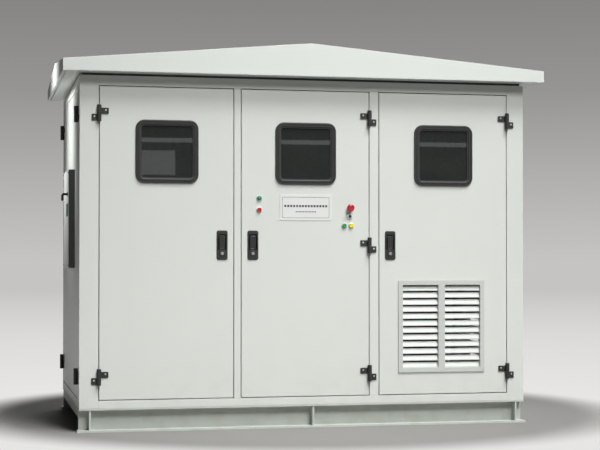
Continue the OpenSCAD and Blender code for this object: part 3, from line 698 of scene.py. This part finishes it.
# %% Hang a window in every door
left_centre = (frame_low + frame_high) / 2
for door in ("left", "mid", "right"):
    low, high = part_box(f"{door}_window_frame")
    step = (low + high) / 2 - left_centre
    ring = rubber if door == "left" else twin(rubber, f"{door}_window_rubber", move(step.x))
    sheet = pane if door == "left" else twin(pane, f"{door}_window_pane", move(step.x))
    hand_over(ring, f"{door}_door", "seal_rubber", f"{door}_window_frame")
    hand_over(sheet, f"{door}_door", "window_glass", f"{door}_window_glass")

# %% [markdown]
# ## Swing-handle locks
# A nylon dish lies flush in the door. Its rim is crowned, its pocket holds a folding grip,
# and a round boss below it guards the chromed key. The dish is a rounded block whose back is
# pulled through the door. Pocket and key hole are cut into it, as the mould's cores do.

# %% Mould one lock dish
dish_w, dish_h = 58 * mm, 154 * mm
dish_r = 11 * mm
dish_out = 5 * mm
dish_deep = 22 * mm
pocket_w, pocket_h = 42 * mm, 83 * mm
pocket_up = 15.5 * mm
key_down = 43 * mm

dish_low, dish_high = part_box("left_lock_dish")
lock_x = (dish_low.x + dish_high.x) / 2
lock_z = (dish_low.z + dish_high.z) / 2
lock_at = Vector((lock_x, door_face_y, lock_z))
half = Vector((dish_w / 2, 0, dish_h / 2))
dish = block("left_lock_dish_nylon", lock_at - half - Vector((0, dish_out, 0)), lock_at + half, dish_r)
edit(dish)
pick("FACE", lambda place, way: way.y < -0.9)
roll_rim(3.2 * mm)
pick("FACE", lambda place, way: way.y > 0.9)
inset(6 * mm)
bpy.ops.transform.resize(value=(1, 1, 136 / 142), center_override=lock_at)
push(y=dish_deep)
close()

pocket_low = Vector((-pocket_w / 2, -2 * dish_out, pocket_up - pocket_h / 2))
pocket_high = Vector((pocket_w / 2, dish_deep - 4 * mm, pocket_up + pocket_h / 2))
core = block("pocket_core", lock_at + pocket_low, lock_at + pocket_high, 8 * mm)
key_at = lock_at - Vector((0, 0, key_down))
key_r = 9.05 * mm
bore = turned("key_bore", key_at, [(key_r, -dish_deep - 5 * mm), (key_r, 2 * dish_out)])
carve(dish, core, bore)
ease(dish, 0.8 * mm, angle=50)
boss_steps = in_mm((17, 1), (17, 5.2), (15.6, 6), (12.4, 6), (11.4, 5), (9.05, 5), (9.05, 1))
boss = turned("key_boss", key_at, boss_steps, hollow=True)
dish = join("left_lock_dish_nylon", [dish, boss])

# %% [markdown]
# The grip is a slim paddle on a cross pin. A shallow channel down its face leaves a rim to
# hold, and the small round dimple near its top marks the pin.

# %% Mould one grip
grip_low, grip_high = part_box("left_lock_grip")
pin_z = lock_z + 46 * mm
grip_w = 32 * mm
grip = block("left_lock_paddle", (lock_x - grip_w / 2, grip_low.y, grip_low.z),
             (lock_x + grip_w / 2, grip_high.y, grip_high.z), 6 * mm)
edit(grip)
pick("FACE", lambda place, way: way.y < -0.9)
roll_rim(2.2 * mm)
pick("FACE", lambda place, way: way.y < -0.99)
inset(3.2 * mm)
inset(1.2 * mm, -1.1 * mm)
close()
dimple = turned("dimple", (lock_x, grip_low.y, pin_z - 8 * mm), in_mm((3.2, -2), (3.2, 1)))
carve(grip, dimple)
pin_steps = in_mm((2.1, -21.8), (2.5, -21.4), (2.5, 21.4), (2.1, 21.8))
pin = turned("pin", (0, 0, 0), pin_steps, sides=20)
across = Matrix.Rotation(math.radians(90), 4, "Z")
pin.data.transform(move(lock_x, door_face_y + 2 * mm, pin_z) @ across)
grip = join("left_lock_paddle", [grip, pin])

# %% Fit a lock to every door
for door in ("left", "mid", "right"):
    low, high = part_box(f"{door}_lock_dish")
    step = move((low.x + high.x) / 2 - lock_x)
    if door == "left":
        shell, paddle = dish, grip
    else:
        shell = twin(dish, f"{door}_lock_dish_nylon", step)
        paddle = twin(grip, f"{door}_lock_paddle", step)
    hand_over(shell, f"{door}_door", "lock_black", f"{door}_lock_dish")
    hand_over(paddle, f"{door}_grip", "lock_black", f"{door}_lock_grip")
    key = ease(merged_copy(f"{door}_lock_key", f"{door}_lock_cylinder"), 0.5 * mm)
    hand_over(key, f"{door}_key", "lock_metal", f"{door}_lock_key")

# %% [markdown]
# ## Lift-off hinges
# Each hinge has two halves on one pin: a barrel and a wing that is screwed to the door, and
# below them a barrel and a wing on the frame. One half of each kind is modelled at the
# origin, with the pin upright and the door towards +X. Then every hinge on the kiosk is a
# copy: mirrored for doors hung on their right, and turned for the doors on the side.

# %% Model the two halves and their screw
barrel_r = 11 * mm
barrel_half = 42 * mm
split = -4 * mm
running_gap = 0.5 * mm
pivot_out = 12 * mm
wing_t = 5 * mm
door_wing = Vector((49, 0, 31)) * mm
frame_wing = Vector((39, 0, 34)) * mm
chamfer = 1.3 * mm


def hinge_half(name, bottom, top, wing_low, wing_high, screw_x, screw_z):
    """A barrel between two heights with its wing, and a raised seat round the screw."""
    steps = [(barrel_r - chamfer, bottom), (barrel_r, bottom + chamfer),
             (barrel_r, top - chamfer), (barrel_r - chamfer, top)]
    barrel = turned(name, (0, 0, 0), steps)
    barrel.data.transform(Matrix.Rotation(math.radians(-90), 4, "X"))
    wing = block(name + "_wing", wing_low, wing_high, 4 * mm, segments=4)
    ease(wing, 0.9 * mm)
    seat_face = pivot_out - wing_t
    seat_steps = in_mm((7.6, -1), (7.6, 0.6), (6.8, 1.1), (5.6, 1.1), (4.8, 0.2))
    ring = turned(name + "_seat", (screw_x, seat_face, screw_z), seat_steps, sides=20)
    return join(name, [barrel, wing, ring])


upper = split + running_gap / 2
lower = split - running_gap / 2
door_screw = Vector((33.8 * mm, pivot_out - wing_t, upper + 0.62 * door_wing.z))
frame_screw = Vector((-25 * mm, pivot_out - wing_t, lower - 0.4 * frame_wing.z))
door_half = hinge_half("door_half", upper, barrel_half, (0, pivot_out - wing_t, upper),
                       (door_wing.x, pivot_out, upper + door_wing.z), door_screw.x, door_screw.z)
frame_half = hinge_half("frame_half", -barrel_half, lower,
                        (-frame_wing.x, pivot_out - wing_t, lower - frame_wing.z),
                        (0, pivot_out, lower), frame_screw.x, frame_screw.z)
screw_steps = in_mm((4.4, -0.6), (4.4, 0.7), (3.8, 1.2), (2.4, 1.5))
screw = turned("hinge_screw", (0, 0, 0), screw_steps, sides=20)
slot_cut = block("screw_slot", Vector((-5, -3, -0.5)) * mm, Vector((5, -0.8, 0.5)) * mm)
carve(screw, slot_cut)

# %% Hang the copies on every door
leaves_low, leaves_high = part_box("left_hinge_leaves")
hinge_height = {"low": leaves_low.z - upper, "middle": lock_z, "high": leaves_high.z - barrel_half}
hung = {
    "left_door": ("left", ("low", "high")),
    "mid_door": ("right", ("low", "middle", "high")),
    "right_door": ("right", ("low", "high")),
    "side_front": ("right", ("low", "high")),
    "side_rear": ("left", ("low", "high")),
}
pivots = {joint["child"]: Vector(joint["pos_m"]) for joint in frame["joints"]
          if joint["name"].endswith("_hinge")}
frame_halves, frame_screws = [], []
to_the_side = Matrix.Rotation(math.radians(-90), 4, "Z")
for body, (hand, heights) in hung.items():
    turn = to_the_side if body.startswith("side") else Matrix.Identity(4)
    flip = Matrix.Scale(-1, 4, (1, 0, 0)) if hand == "right" else Matrix.Identity(4)
    wings, screws = [], []
    for height in heights:
        place = move(pivots[body].x, pivots[body].y, hinge_height[height]) @ turn @ flip
        wings.append(twin(door_half, f"{body}_{height}_wing", place))
        screws.append(twin(screw, f"{body}_{height}_screw", place @ move(*door_screw)))
        frame_halves.append(twin(frame_half, f"{body}_{height}_frame_half", place))
        frame_screws.append(twin(screw, f"{body}_{height}_frame_screw", place @ move(*frame_screw)))
    node = f"{body.split('_')[0]}_hinge_leaves"
    stands_for = () if body.startswith("side") else (node,)
    hand_over(join(f"{body}_hinge_wings", wings), body, "hinge_black", *stands_for)
    hand_over(join(f"{body}_hinge_screws", screws), body, "fastener_zinc")
hand_over(join("frame_hinge_halves", frame_halves), "cabinet", "hinge_black", "frame_hinges")
hand_over(join("frame_hinge_screws", frame_screws), "cabinet", "fastener_zinc")
for pattern in (door_half, frame_half, screw):
    bpy.data.objects.remove(pattern)

# %% [markdown]
# ## The double door on the left side
# Its two leaves come with their hinge halves fused on. The halves above are modelled
# pieces, so each leaf is cut off just under its painted face and closed again there.

# %% Cut the leaves clean and roll their bends
side_face_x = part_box("corner_posts")[0].x
skim = 0.02 * mm
for body, node in (("side_front", "side_leaf_front"), ("side_rear", "side_leaf_rear")):
    leaf = merged_copy(node, f"{body}_leaf_skin")
    edit(leaf)
    take_all()
    bpy.ops.mesh.bisect(plane_co=(side_face_x + skim, 0, 0), plane_no=(-1, 0, 0), use_fill=True,
                        clear_outer=True, threshold=skim / 20)
    take_all()
    bpy.ops.mesh.dissolve_limited(angle_limit=math.radians(0.5))
    close()
    roll_bends(leaf, (-1, 0, 0), bend_r)
    hand_over(ease(leaf, soft_edge), body, "body_paint", node)

# %% [markdown]
# ## The louvre grille
# The right bay breathes through a grille with two banks of blades. Each blade is a thin
# sheet leaning out at the bottom, with a narrow lip folded down in front, which keeps rain
# out. One blade is folded, an array repeats it up the bank, and the second bank is a copy.

# %% Cut the surround
grille_low, grille_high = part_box("louvre_grille")
grille_mid = (grille_low + grille_high) / 2
border = 22 * mm
bar_w = 31 * mm
collar_back = 22 * mm
blade_count = 12
open_w = grille_high.x - grille_low.x - 2 * border
open_h = grille_high.z - grille_low.z - 2 * border
bank_w = (open_w - bar_w) / 2
bank_x = [grille_mid.x + side * (bank_w + bar_w) / 2 for side in (-1, 1)]
surround = block("louvre_surround", grille_low, (grille_high.x, door_face_y, grille_high.z),
                 3 * mm, segments=3)
edit(surround)
for x in bank_x:
    for side in (-1, 1):
        take_all()
        bpy.ops.mesh.bisect(plane_co=(x + side * bank_w / 2, 0, 0), plane_no=(1, 0, 0))
for side in (-1, 1):
    take_all()
    bpy.ops.mesh.bisect(plane_co=(0, 0, grille_mid.z + side * open_h / 2), plane_no=(0, 0, 1))


def in_opening(place, x, half_w):
    """True inside the opening that is half_w wide either side of x."""
    return abs(place.x - x) < half_w and abs(place.z - grille_mid.z) < open_h / 2


pick("FACE", lambda place, way: way.y > 0.9 and in_opening(place, grille_mid.x, open_w / 2))
push(y=collar_back)
for x in bank_x:
    pick("FACE", lambda place, way: abs(way.y) > 0.9 and in_opening(place, x, bank_w / 2))
    inset(3 * mm)
    drop_faces()
    bridge()
close()
hand_over(ease(surround, 0.9 * mm, angle=40), "right_door", "grille_paint", "louvre_grille")

# %% Fold a blade and fill both banks
blade_l = 27 * mm
blade_t = 1.4 * mm
lean = math.radians(66)
lip = 4 * mm
pitch = open_h / blade_count

blade_half = Vector((bank_w / 2 - 2.6 * mm, blade_l / 2, blade_t / 2))
blade = block("louvre_blades", -blade_half, blade_half)
blade.rotation_euler.x = lean
only(blade)
settle()
edit(blade)
pick("FACE", lambda place, way: way.y < -0.3 and way.z < -0.5)
push(z=-lip)
close()
ease(blade, 0.45 * mm, angle=20)
blade.data.transform(move(bank_x[0], door_face_y + 8 * mm, grille_mid.z - open_h / 2 + pitch / 2))
modify(blade, "ARRAY", count=blade_count, use_relative_offset=False, use_constant_offset=True,
       constant_offset_displace=(0, 0, pitch))
blades = join("louvre_blades", [blade, twin(blade, "second_bank", move(bank_x[1] - bank_x[0]))])
hand_over(blades, "right_door", "grille_paint")

# %% Screw the grille on
rivet_steps = in_mm((3.4, -0.6), (3.4, 0.6), (2.6, 1.3), (1.4, 1.5))
rivet = turned("grille_screw", (0, 0, 0), rivet_steps, sides=16)
rivets = []
for x in (grille_low.x + border / 2, grille_mid.x, grille_high.x - border / 2):
    for z in (grille_low.z + border / 2, grille_high.z - border / 2):
        rivets.append(twin(rivet, f"rivet_{len(rivets)}", move(x, grille_low.y, z)))
hand_over(join("louvre_screws", rivets), "right_door", "grille_paint")

# %% [markdown]
# ## Lamps, push buttons and the emergency stop
# Everything round on the middle door is turned. A profile of a few steps gives each piece
# its collar, its neck and its crown, and the crown of the lamp follows a circle so that it
# is a true dome. Each control stands where its solid in the frame does.

# %% Turn the bezels
def centre_of(node, y=None):
    """The middle of a node's box, on the door's face or at the y given."""
    low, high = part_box(node)
    return Vector(((low.x + high.x) / 2, door_face_y if y is None else y, (low.z + high.z) / 2))


controls = ["pilot_lens", "button_red", "button_green", "button_yellow", "estop_button", "key_switch"]
wide, narrow = 12.2, 8.1
bezels = []
for control in controls:
    bore = narrow if control in ("estop_button", "key_switch") else wide
    profile = in_mm((11, -34), (11, 0), (15, 0), (15, 3.6), (13.9, 5.4), (13, 5.9),
                    (bore, 5.9), (bore, 0.5), (narrow, 0.4), (narrow, -34))
    bezels.append(turned(f"{control}_bezel", centre_of(control), profile, hollow=True))
hand_over(join("control_bezel_rings", bezels), "mid_door", "bezel_grey", "control_bezels")

# %% Turn the lamp, the buttons, the stop and the key switch
dome_r = 16 * mm
dome = [(dome_r * math.cos(a), dome_r * math.sin(a) - 2.5 * mm)
        for a in (math.radians(d) for d in (46, 56, 66, 76, 85))]
lens_steps = in_mm((8, -32), (8, 0.6), (11.7, 0.7), (11.7, 8))
lens = turned("green_lamp_dome", centre_of("pilot_lens"), lens_steps + dome)
hand_over(lens, "mid_door", "lamp_green", "pilot_lens")

button = in_mm((8, -25), (8, 5), (11.2, 5.2), (11.4, 8.4), (10.8, 9.4), (9.4, 9.9), (7.6, 9.9),
               (6.6, 9.3), (3, 9.1))
for tint in ("red", "green", "yellow"):
    cap = turned(f"{tint}_push_cap", centre_of(f"button_{tint}"), button)
    hand_over(cap, f"push_{tint}", f"push_{tint}", f"button_{tint}")

mushroom = in_mm((8, -25), (8, 12.2), (12, 12.4), (12, 19), (18.6, 19.6), (20, 21), (20, 24),
                 (18.8, 26.6), (16, 28.6), (12.6, 29.6), (11.6, 29.2), (11, 28.2), (8, 28.6),
                 (4, 29.4))
stop = turned("emergency_stop_head", centre_of("estop_button"), mushroom, sides=40)
hand_over(stop, "estop_push", "push_red", "estop_button")

key_hole = centre_of("key_switch")
barrel = turned("key_switch_barrel", key_hole, in_mm((8, -33), (8, 7.6), (7.2, 8.6), (4, 9)))
slot_low, slot_high = Vector((-1, -12, -5)) * mm, Vector((1, -6.5, 5)) * mm
carve(barrel, block("key_slot", key_hole + slot_low, key_hole + slot_high))
hand_over(barrel, "key_turn", "switch_dark", "key_switch")

# %% [markdown]
# ## The nameplate
# An acrylic plate with an engraved border. Real lettering is left off: two rows of plain
# dashes stand where the lines would be, and four small screws hold the corners.

# %% Plate, border, rows and screws
plate_low, plate_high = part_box("nameplate")
plate_mid = (plate_low + plate_high) / 2
plate = block("nameplate_acrylic", plate_low, plate_high, 3 * mm, segments=4)
hand_over(ease(plate, 0.5 * mm), "mid_door", "plate_white", "nameplate")

cut_in = 0.25 * mm
margin = 13 * mm
line_w = 1.6 * mm
border_low = plate_low + Vector((margin, 0, margin))
border_high = plate_high - Vector((margin, 0, margin))
line = block("nameplate_line", (border_low.x, plate_low.y - cut_in, border_low.z),
             (border_high.x, plate_low.y + cut_in, border_high.z), 5 * mm)
edit(line)
pick("FACE", lambda place, way: abs(way.y) > 0.9)
inset(line_w)
drop_faces()
bridge()
close()

dashes = []
rows = ((15, 11 * mm, 12 * mm, 4.8 * mm, 8 * mm), (14, 5.2 * mm, 6 * mm, 2.8 * mm, -22 * mm))
for count, dash_w, dash_h, gap, up in rows:
    row_w = count * dash_w + (count - 1) * gap
    for k in range(count):
        x = plate_mid.x - row_w / 2 + k * (dash_w + gap)
        z = plate_mid.z + up
        dashes.append(block(f"dash_{len(dashes)}", (x, plate_low.y - cut_in, z - dash_h / 2),
                            (x + dash_w, plate_low.y + cut_in, z + dash_h / 2), dash_h / 5,
                            segments=2))
hand_over(join("nameplate_engraving", [line] + dashes), "mid_door", "plate_white", finish=ink)

corner_screws = [twin(rivet, f"plate_screw_{i}{j}", move(x, plate_low.y, z) @ Matrix.Scale(0.8, 4))
                 for i, x in enumerate((plate_low.x + 6 * mm, plate_high.x - 6 * mm))
                 for j, z in enumerate((plate_low.z + 6 * mm, plate_high.z - 6 * mm))]
hand_over(join("nameplate_screws", corner_screws), "mid_door", "fastener_zinc")
bpy.data.objects.remove(rivet)

# %% [markdown]
# ## The control box on the side door
# A shallow folded box with a flat cover, four screws, a green tag and a bent lever. The
# lever is a rod that is extruded out, spun a quarter turn down and drawn out again.

# %% Box, cover and tag
hand_over(ease(merged_copy("side_box", "side_box_shell"), 0.8 * mm), "side_front", "box_grey", "side_box")

cover_t = 2 * mm
cover_low, cover_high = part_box("side_box")
cover_x = cover_low.x - cover_t
lever_low, lever_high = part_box("side_handle")
handle_at = Vector((cover_x, (lever_low.y + lever_high.y) / 2, lever_high.z - 12 * mm))
cover = block("side_box_lid", (cover_x, cover_low.y, cover_low.z),
              (cover_low.x, cover_high.y, cover_high.z), 3 * mm, along=0, segments=3)
hand_over(ease(cover, 0.5 * mm), "side_front", "body_paint", "side_box_cover")

tag = block("side_green_tag", (cover_x - 2 * mm, cover_low.y + 14 * mm, handle_at.z - 118 * mm),
            (cover_x, cover_low.y + 168 * mm, handle_at.z - 50 * mm), 4 * mm, along=0, segments=3)
hand_over(ease(tag, 0.5 * mm), "side_front", "lamp_green", finish=tag_green)

dome_steps = in_mm((5, -0.5), (5, 1.2), (4, 2.4), (2.2, 2.9))
dome_head = turned("cover_screw", (0, 0, 0), dome_steps, sides=20)
inset_screw = 14 * mm
heads = [twin(dome_head, f"cover_screw_{i}{j}", move(cover_x, y, z) @ to_the_side)
         for i, y in enumerate((cover_low.y + inset_screw, cover_high.y - inset_screw))
         for j, z in enumerate((cover_low.z + inset_screw, cover_high.z - inset_screw))]
hand_over(join("side_box_screws", heads), "side_front", "hinge_black")
bpy.data.objects.remove(dome_head)

# %% Bend the lever
rod_r = 6 * mm
reach_out = 20 * mm
bend = 9 * mm
rose_steps = in_mm((12, 0.3), (12, 3), (10.8, 4), (7, 4))
rod_steps = [(rod_r, -30 * mm), (rod_r, 0.3 * mm), *rose_steps, (rod_r, 5 * mm), (rod_r, reach_out)]
lever = turned("side_lever_rod", (0, 0, 0), rod_steps)
edit(lever)
pick("FACE", lambda place, way: place.y < -reach_out + 0.1 * mm and way.y < -0.9)
bpy.ops.mesh.spin(steps=8, angle=math.radians(90), center=(0, -reach_out, -bend), axis=(-1, 0, 0))
pick("FACE", lambda place, way: way.z < -0.99 and place.z < -bend + 0.1 * mm and place.y < -reach_out)
for down, wider, deeper in ((20, 1.25, 1.1), (6, 0.7, 0.7), (2, 0.5, 0.5)):
    push(z=-down * mm)
    bpy.ops.transform.resize(value=(wider, deeper, 1), center_override=(0, -reach_out - bend, 0))
take_all()
bpy.ops.mesh.remove_doubles(threshold=0.01 * mm)
look_out()
close()
lever.data.transform(move(*handle_at) @ to_the_side)
reach = [v.co for v in lever.data.vertices]
print("lever reaches down to", round(min(v.z for v in reach), 4), "m")
hand_over(lever, "side_lever", "hinge_black", "side_handle")

# %% [markdown]
# ## Panel screws
# The rear and right panels are held by socket-head screws. All of them are one solid of the
# frame, so one pass over a copy sinks a socket in every head at once.

# %% Sink the sockets
panel_screws = merged_copy("panel_fasteners", "panel_screws")
rear_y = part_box("rear_panels")[1].y
right_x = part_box("right_side_panel")[1].x
edit(panel_screws)
heads = pick("FACE", lambda place, way: (way.y > 0.9 and place.y > rear_y + 1 * mm)
             or (way.x > 0.9 and place.x > right_x + 1 * mm))
inset(3.4 * mm, each=True)
inset(0.3 * mm, -2 * mm, each=True)
close()
print("panel screws:", heads)
hand_over(ease(panel_screws, 0.8 * mm, angle=50), "cabinet", "fastener_zinc", "panel_fasteners")

# %% [markdown]
# ## The stage
# A pale studio floor runs out and fades into the backdrop, which is light at the horizon and
# darker above. Close to the kiosk the floor is a dark grey. It turns into the pale glow only
# between 1.6 and 2.1 m from a point a little right of and behind the kiosk's middle. That dark
# patch is a painted shadow round the base, on top of the shadows the lights cast. The glow
# itself is brightest there and dims to the horizon colour far out. The floor is split in two:
# an inner disc takes the shadow and throws light back up, and the outer ring glows but is
# hidden from soft bounces, so that it doesn't light the kiosk from below.

# %% Floor
horizon = shade(198, 196, 194)
floor_r = 60
disc_r = 2.5
shadow_centre = (0.1, 0.2, 0.0)
shadow_fade_from, shadow_fade_to = 1.62, 2.1
spill_from, spill_to = 2.0, 40.0
bpy.ops.object.select_all(action="DESELECT")
bpy.ops.mesh.primitive_circle_add(vertices=96, radius=floor_r, fill_type="NGON")
floor = bpy.context.object
floor.name = floor.data.name = "studio_floor"
ground = Finish("studio_floor", Roughness=0.8)
# The floor's own colour is a dark grey. Where no glow is mixed in, near the kiosk, it paints shade round
# the base.
ground.set("Base Color", shade(124, 123, 121))
aside = ground.node("ShaderNodeVectorMath", {"operation": "SUBTRACT"},
                    {0: ground.place(), 1: shadow_centre})
far = ground.node("ShaderNodeVectorMath", {"operation": "LENGTH"}, {0: aside}, output=1)
spill = ground.node("ShaderNodeMath", {"operation": "POWER"},
                    {0: ground.between(far, spill_from, spill_to), 1: 0.4})
glow_colour = ground.blend(spill, shade(231, 230, 228), horizon)
glow = ground.node("ShaderNodeEmission", None, {"Color": glow_colour})
# This mix is the painted shadow: dark floor within about 1.6 to 2.1 m of shadow_centre, glowing floor
# beyond it.
shadow_fade = ground.node("ShaderNodeMixShader", None, {0: ground.between(far, shadow_fade_from, shadow_fade_to)})
ground.tree.links.new(ground.shader.outputs[0], shadow_fade.socket.node.inputs[1])
ground.tree.links.new(glow.socket, shadow_fade.socket.node.inputs[2])
ground.tree.links.new(shadow_fade.socket, ground.tree.nodes["Material Output"].inputs["Surface"])
floor.data.materials.append(ground.material)
edit(floor)
take_all()
inset(floor_r - disc_r)
bpy.ops.mesh.separate(type="SELECTED")
close()
for part in list(bpy.context.selected_objects):
    part.visible_diffuse = part.dimensions.x < floor_r

# %% Backdrop
world = bpy.data.worlds.new("studio")
bpy.context.scene.world = world
world.use_nodes = True
nodes, links = world.node_tree.nodes, world.node_tree.links
sky = nodes["Background"]
way_up = nodes.new("ShaderNodeTexCoord")
split_up = nodes.new("ShaderNodeSeparateXYZ")
ramp = nodes.new("ShaderNodeValToRGB")
links.new(way_up.outputs["Generated"], split_up.inputs[0])
links.new(split_up.outputs["Z"], ramp.inputs[0])
links.new(ramp.outputs[0], sky.inputs["Color"])
stops = [(0.0, horizon), (0.05, shade(178, 177, 175)), (0.11, shade(150, 149, 147)),
         (0.175, shade(132, 131, 130)), (1.0, shade(120, 120, 120))]
while len(ramp.color_ramp.elements) < len(stops):
    ramp.color_ramp.elements.new(0.5)
for element, (place, colour) in zip(ramp.color_ramp.elements, stops):
    element.position, element.color = place, (*colour, 1)
rays = nodes.new("ShaderNodeLightPath")
dimmer = nodes.new("ShaderNodeMapRange")
dimmer.inputs["To Min"].default_value = 0.22
links.new(rays.outputs["Is Camera Ray"], dimmer.inputs["Value"])
links.new(dimmer.outputs[0], sky.inputs["Strength"])

# %% [markdown]
# ## Light
# One large soft box in front and above gives the even front. A lower one from the right
# fills it, a strip up on the left brightens the top of the side door and the roof's edge,
# and a box behind lights the back. Two faint cards are there for their reflections in the
# panes. None of them shows itself to the camera.

# %% Soft boxes
def soft_box(name, place, target, width, height, watts, spread=180):
    """An area light that looks at a target."""
    lamp = bpy.data.lights.new(name, "AREA")
    lamp.shape, lamp.size, lamp.size_y, lamp.energy = "RECTANGLE", width, height, watts
    lamp.spread = math.radians(spread)
    holder = bpy.data.objects.new(name, lamp)
    bpy.context.collection.objects.link(holder)
    holder.location = place
    holder.rotation_euler = (Vector(target) - Vector(place)).to_track_quat("-Z", "Y").to_euler()
    holder.visible_camera = False
    return holder


soft_box("key_box", (2.8, -5.6, 11.3), (0.1, -1.0, -0.3), 6.0, 4.0, 158, spread=44)
soft_box("front_box", (2.0, -9.0, 7.5), (0.1, -1.0, -0.3), 4.0, 3.0, 92, spread=60)
soft_box("left_strip", (-4.2, -0.1, 3.2), (-1.2, 0.0, 1.92), 0.3, 1.4, 5.2, spread=16)
soft_box("high_reflection", (1.4, -8.0, 2.09), (1.4, 0.0, 2.09), 5.0, 0.045, 0.6)
soft_box("card_reflection", (0.06, -8.0, 1.86), (0.06, 0.0, 1.86), 0.42, 0.25, 0.24)
soft_box("rear_box", (1.0, 6.0, 4.0), (0, 0, 1.0), 4.0, 3.0, 120)

# %% Camera
eye = Vector((-1.7456, -8.4695, 0.8800))
camera_data = bpy.data.cameras.new("camera")
camera_data.lens = 90.68
camera_data.sensor_width = 36
camera_data.shift_y = 0.0229
camera = bpy.data.objects.new("camera", camera_data)
bpy.context.collection.objects.link(camera)
camera.location = eye
camera.rotation_euler = (math.radians(90.823), 0, math.radians(-12.315))
bpy.context.scene.camera = camera
bpy.context.scene.view_settings.view_transform = "Standard"
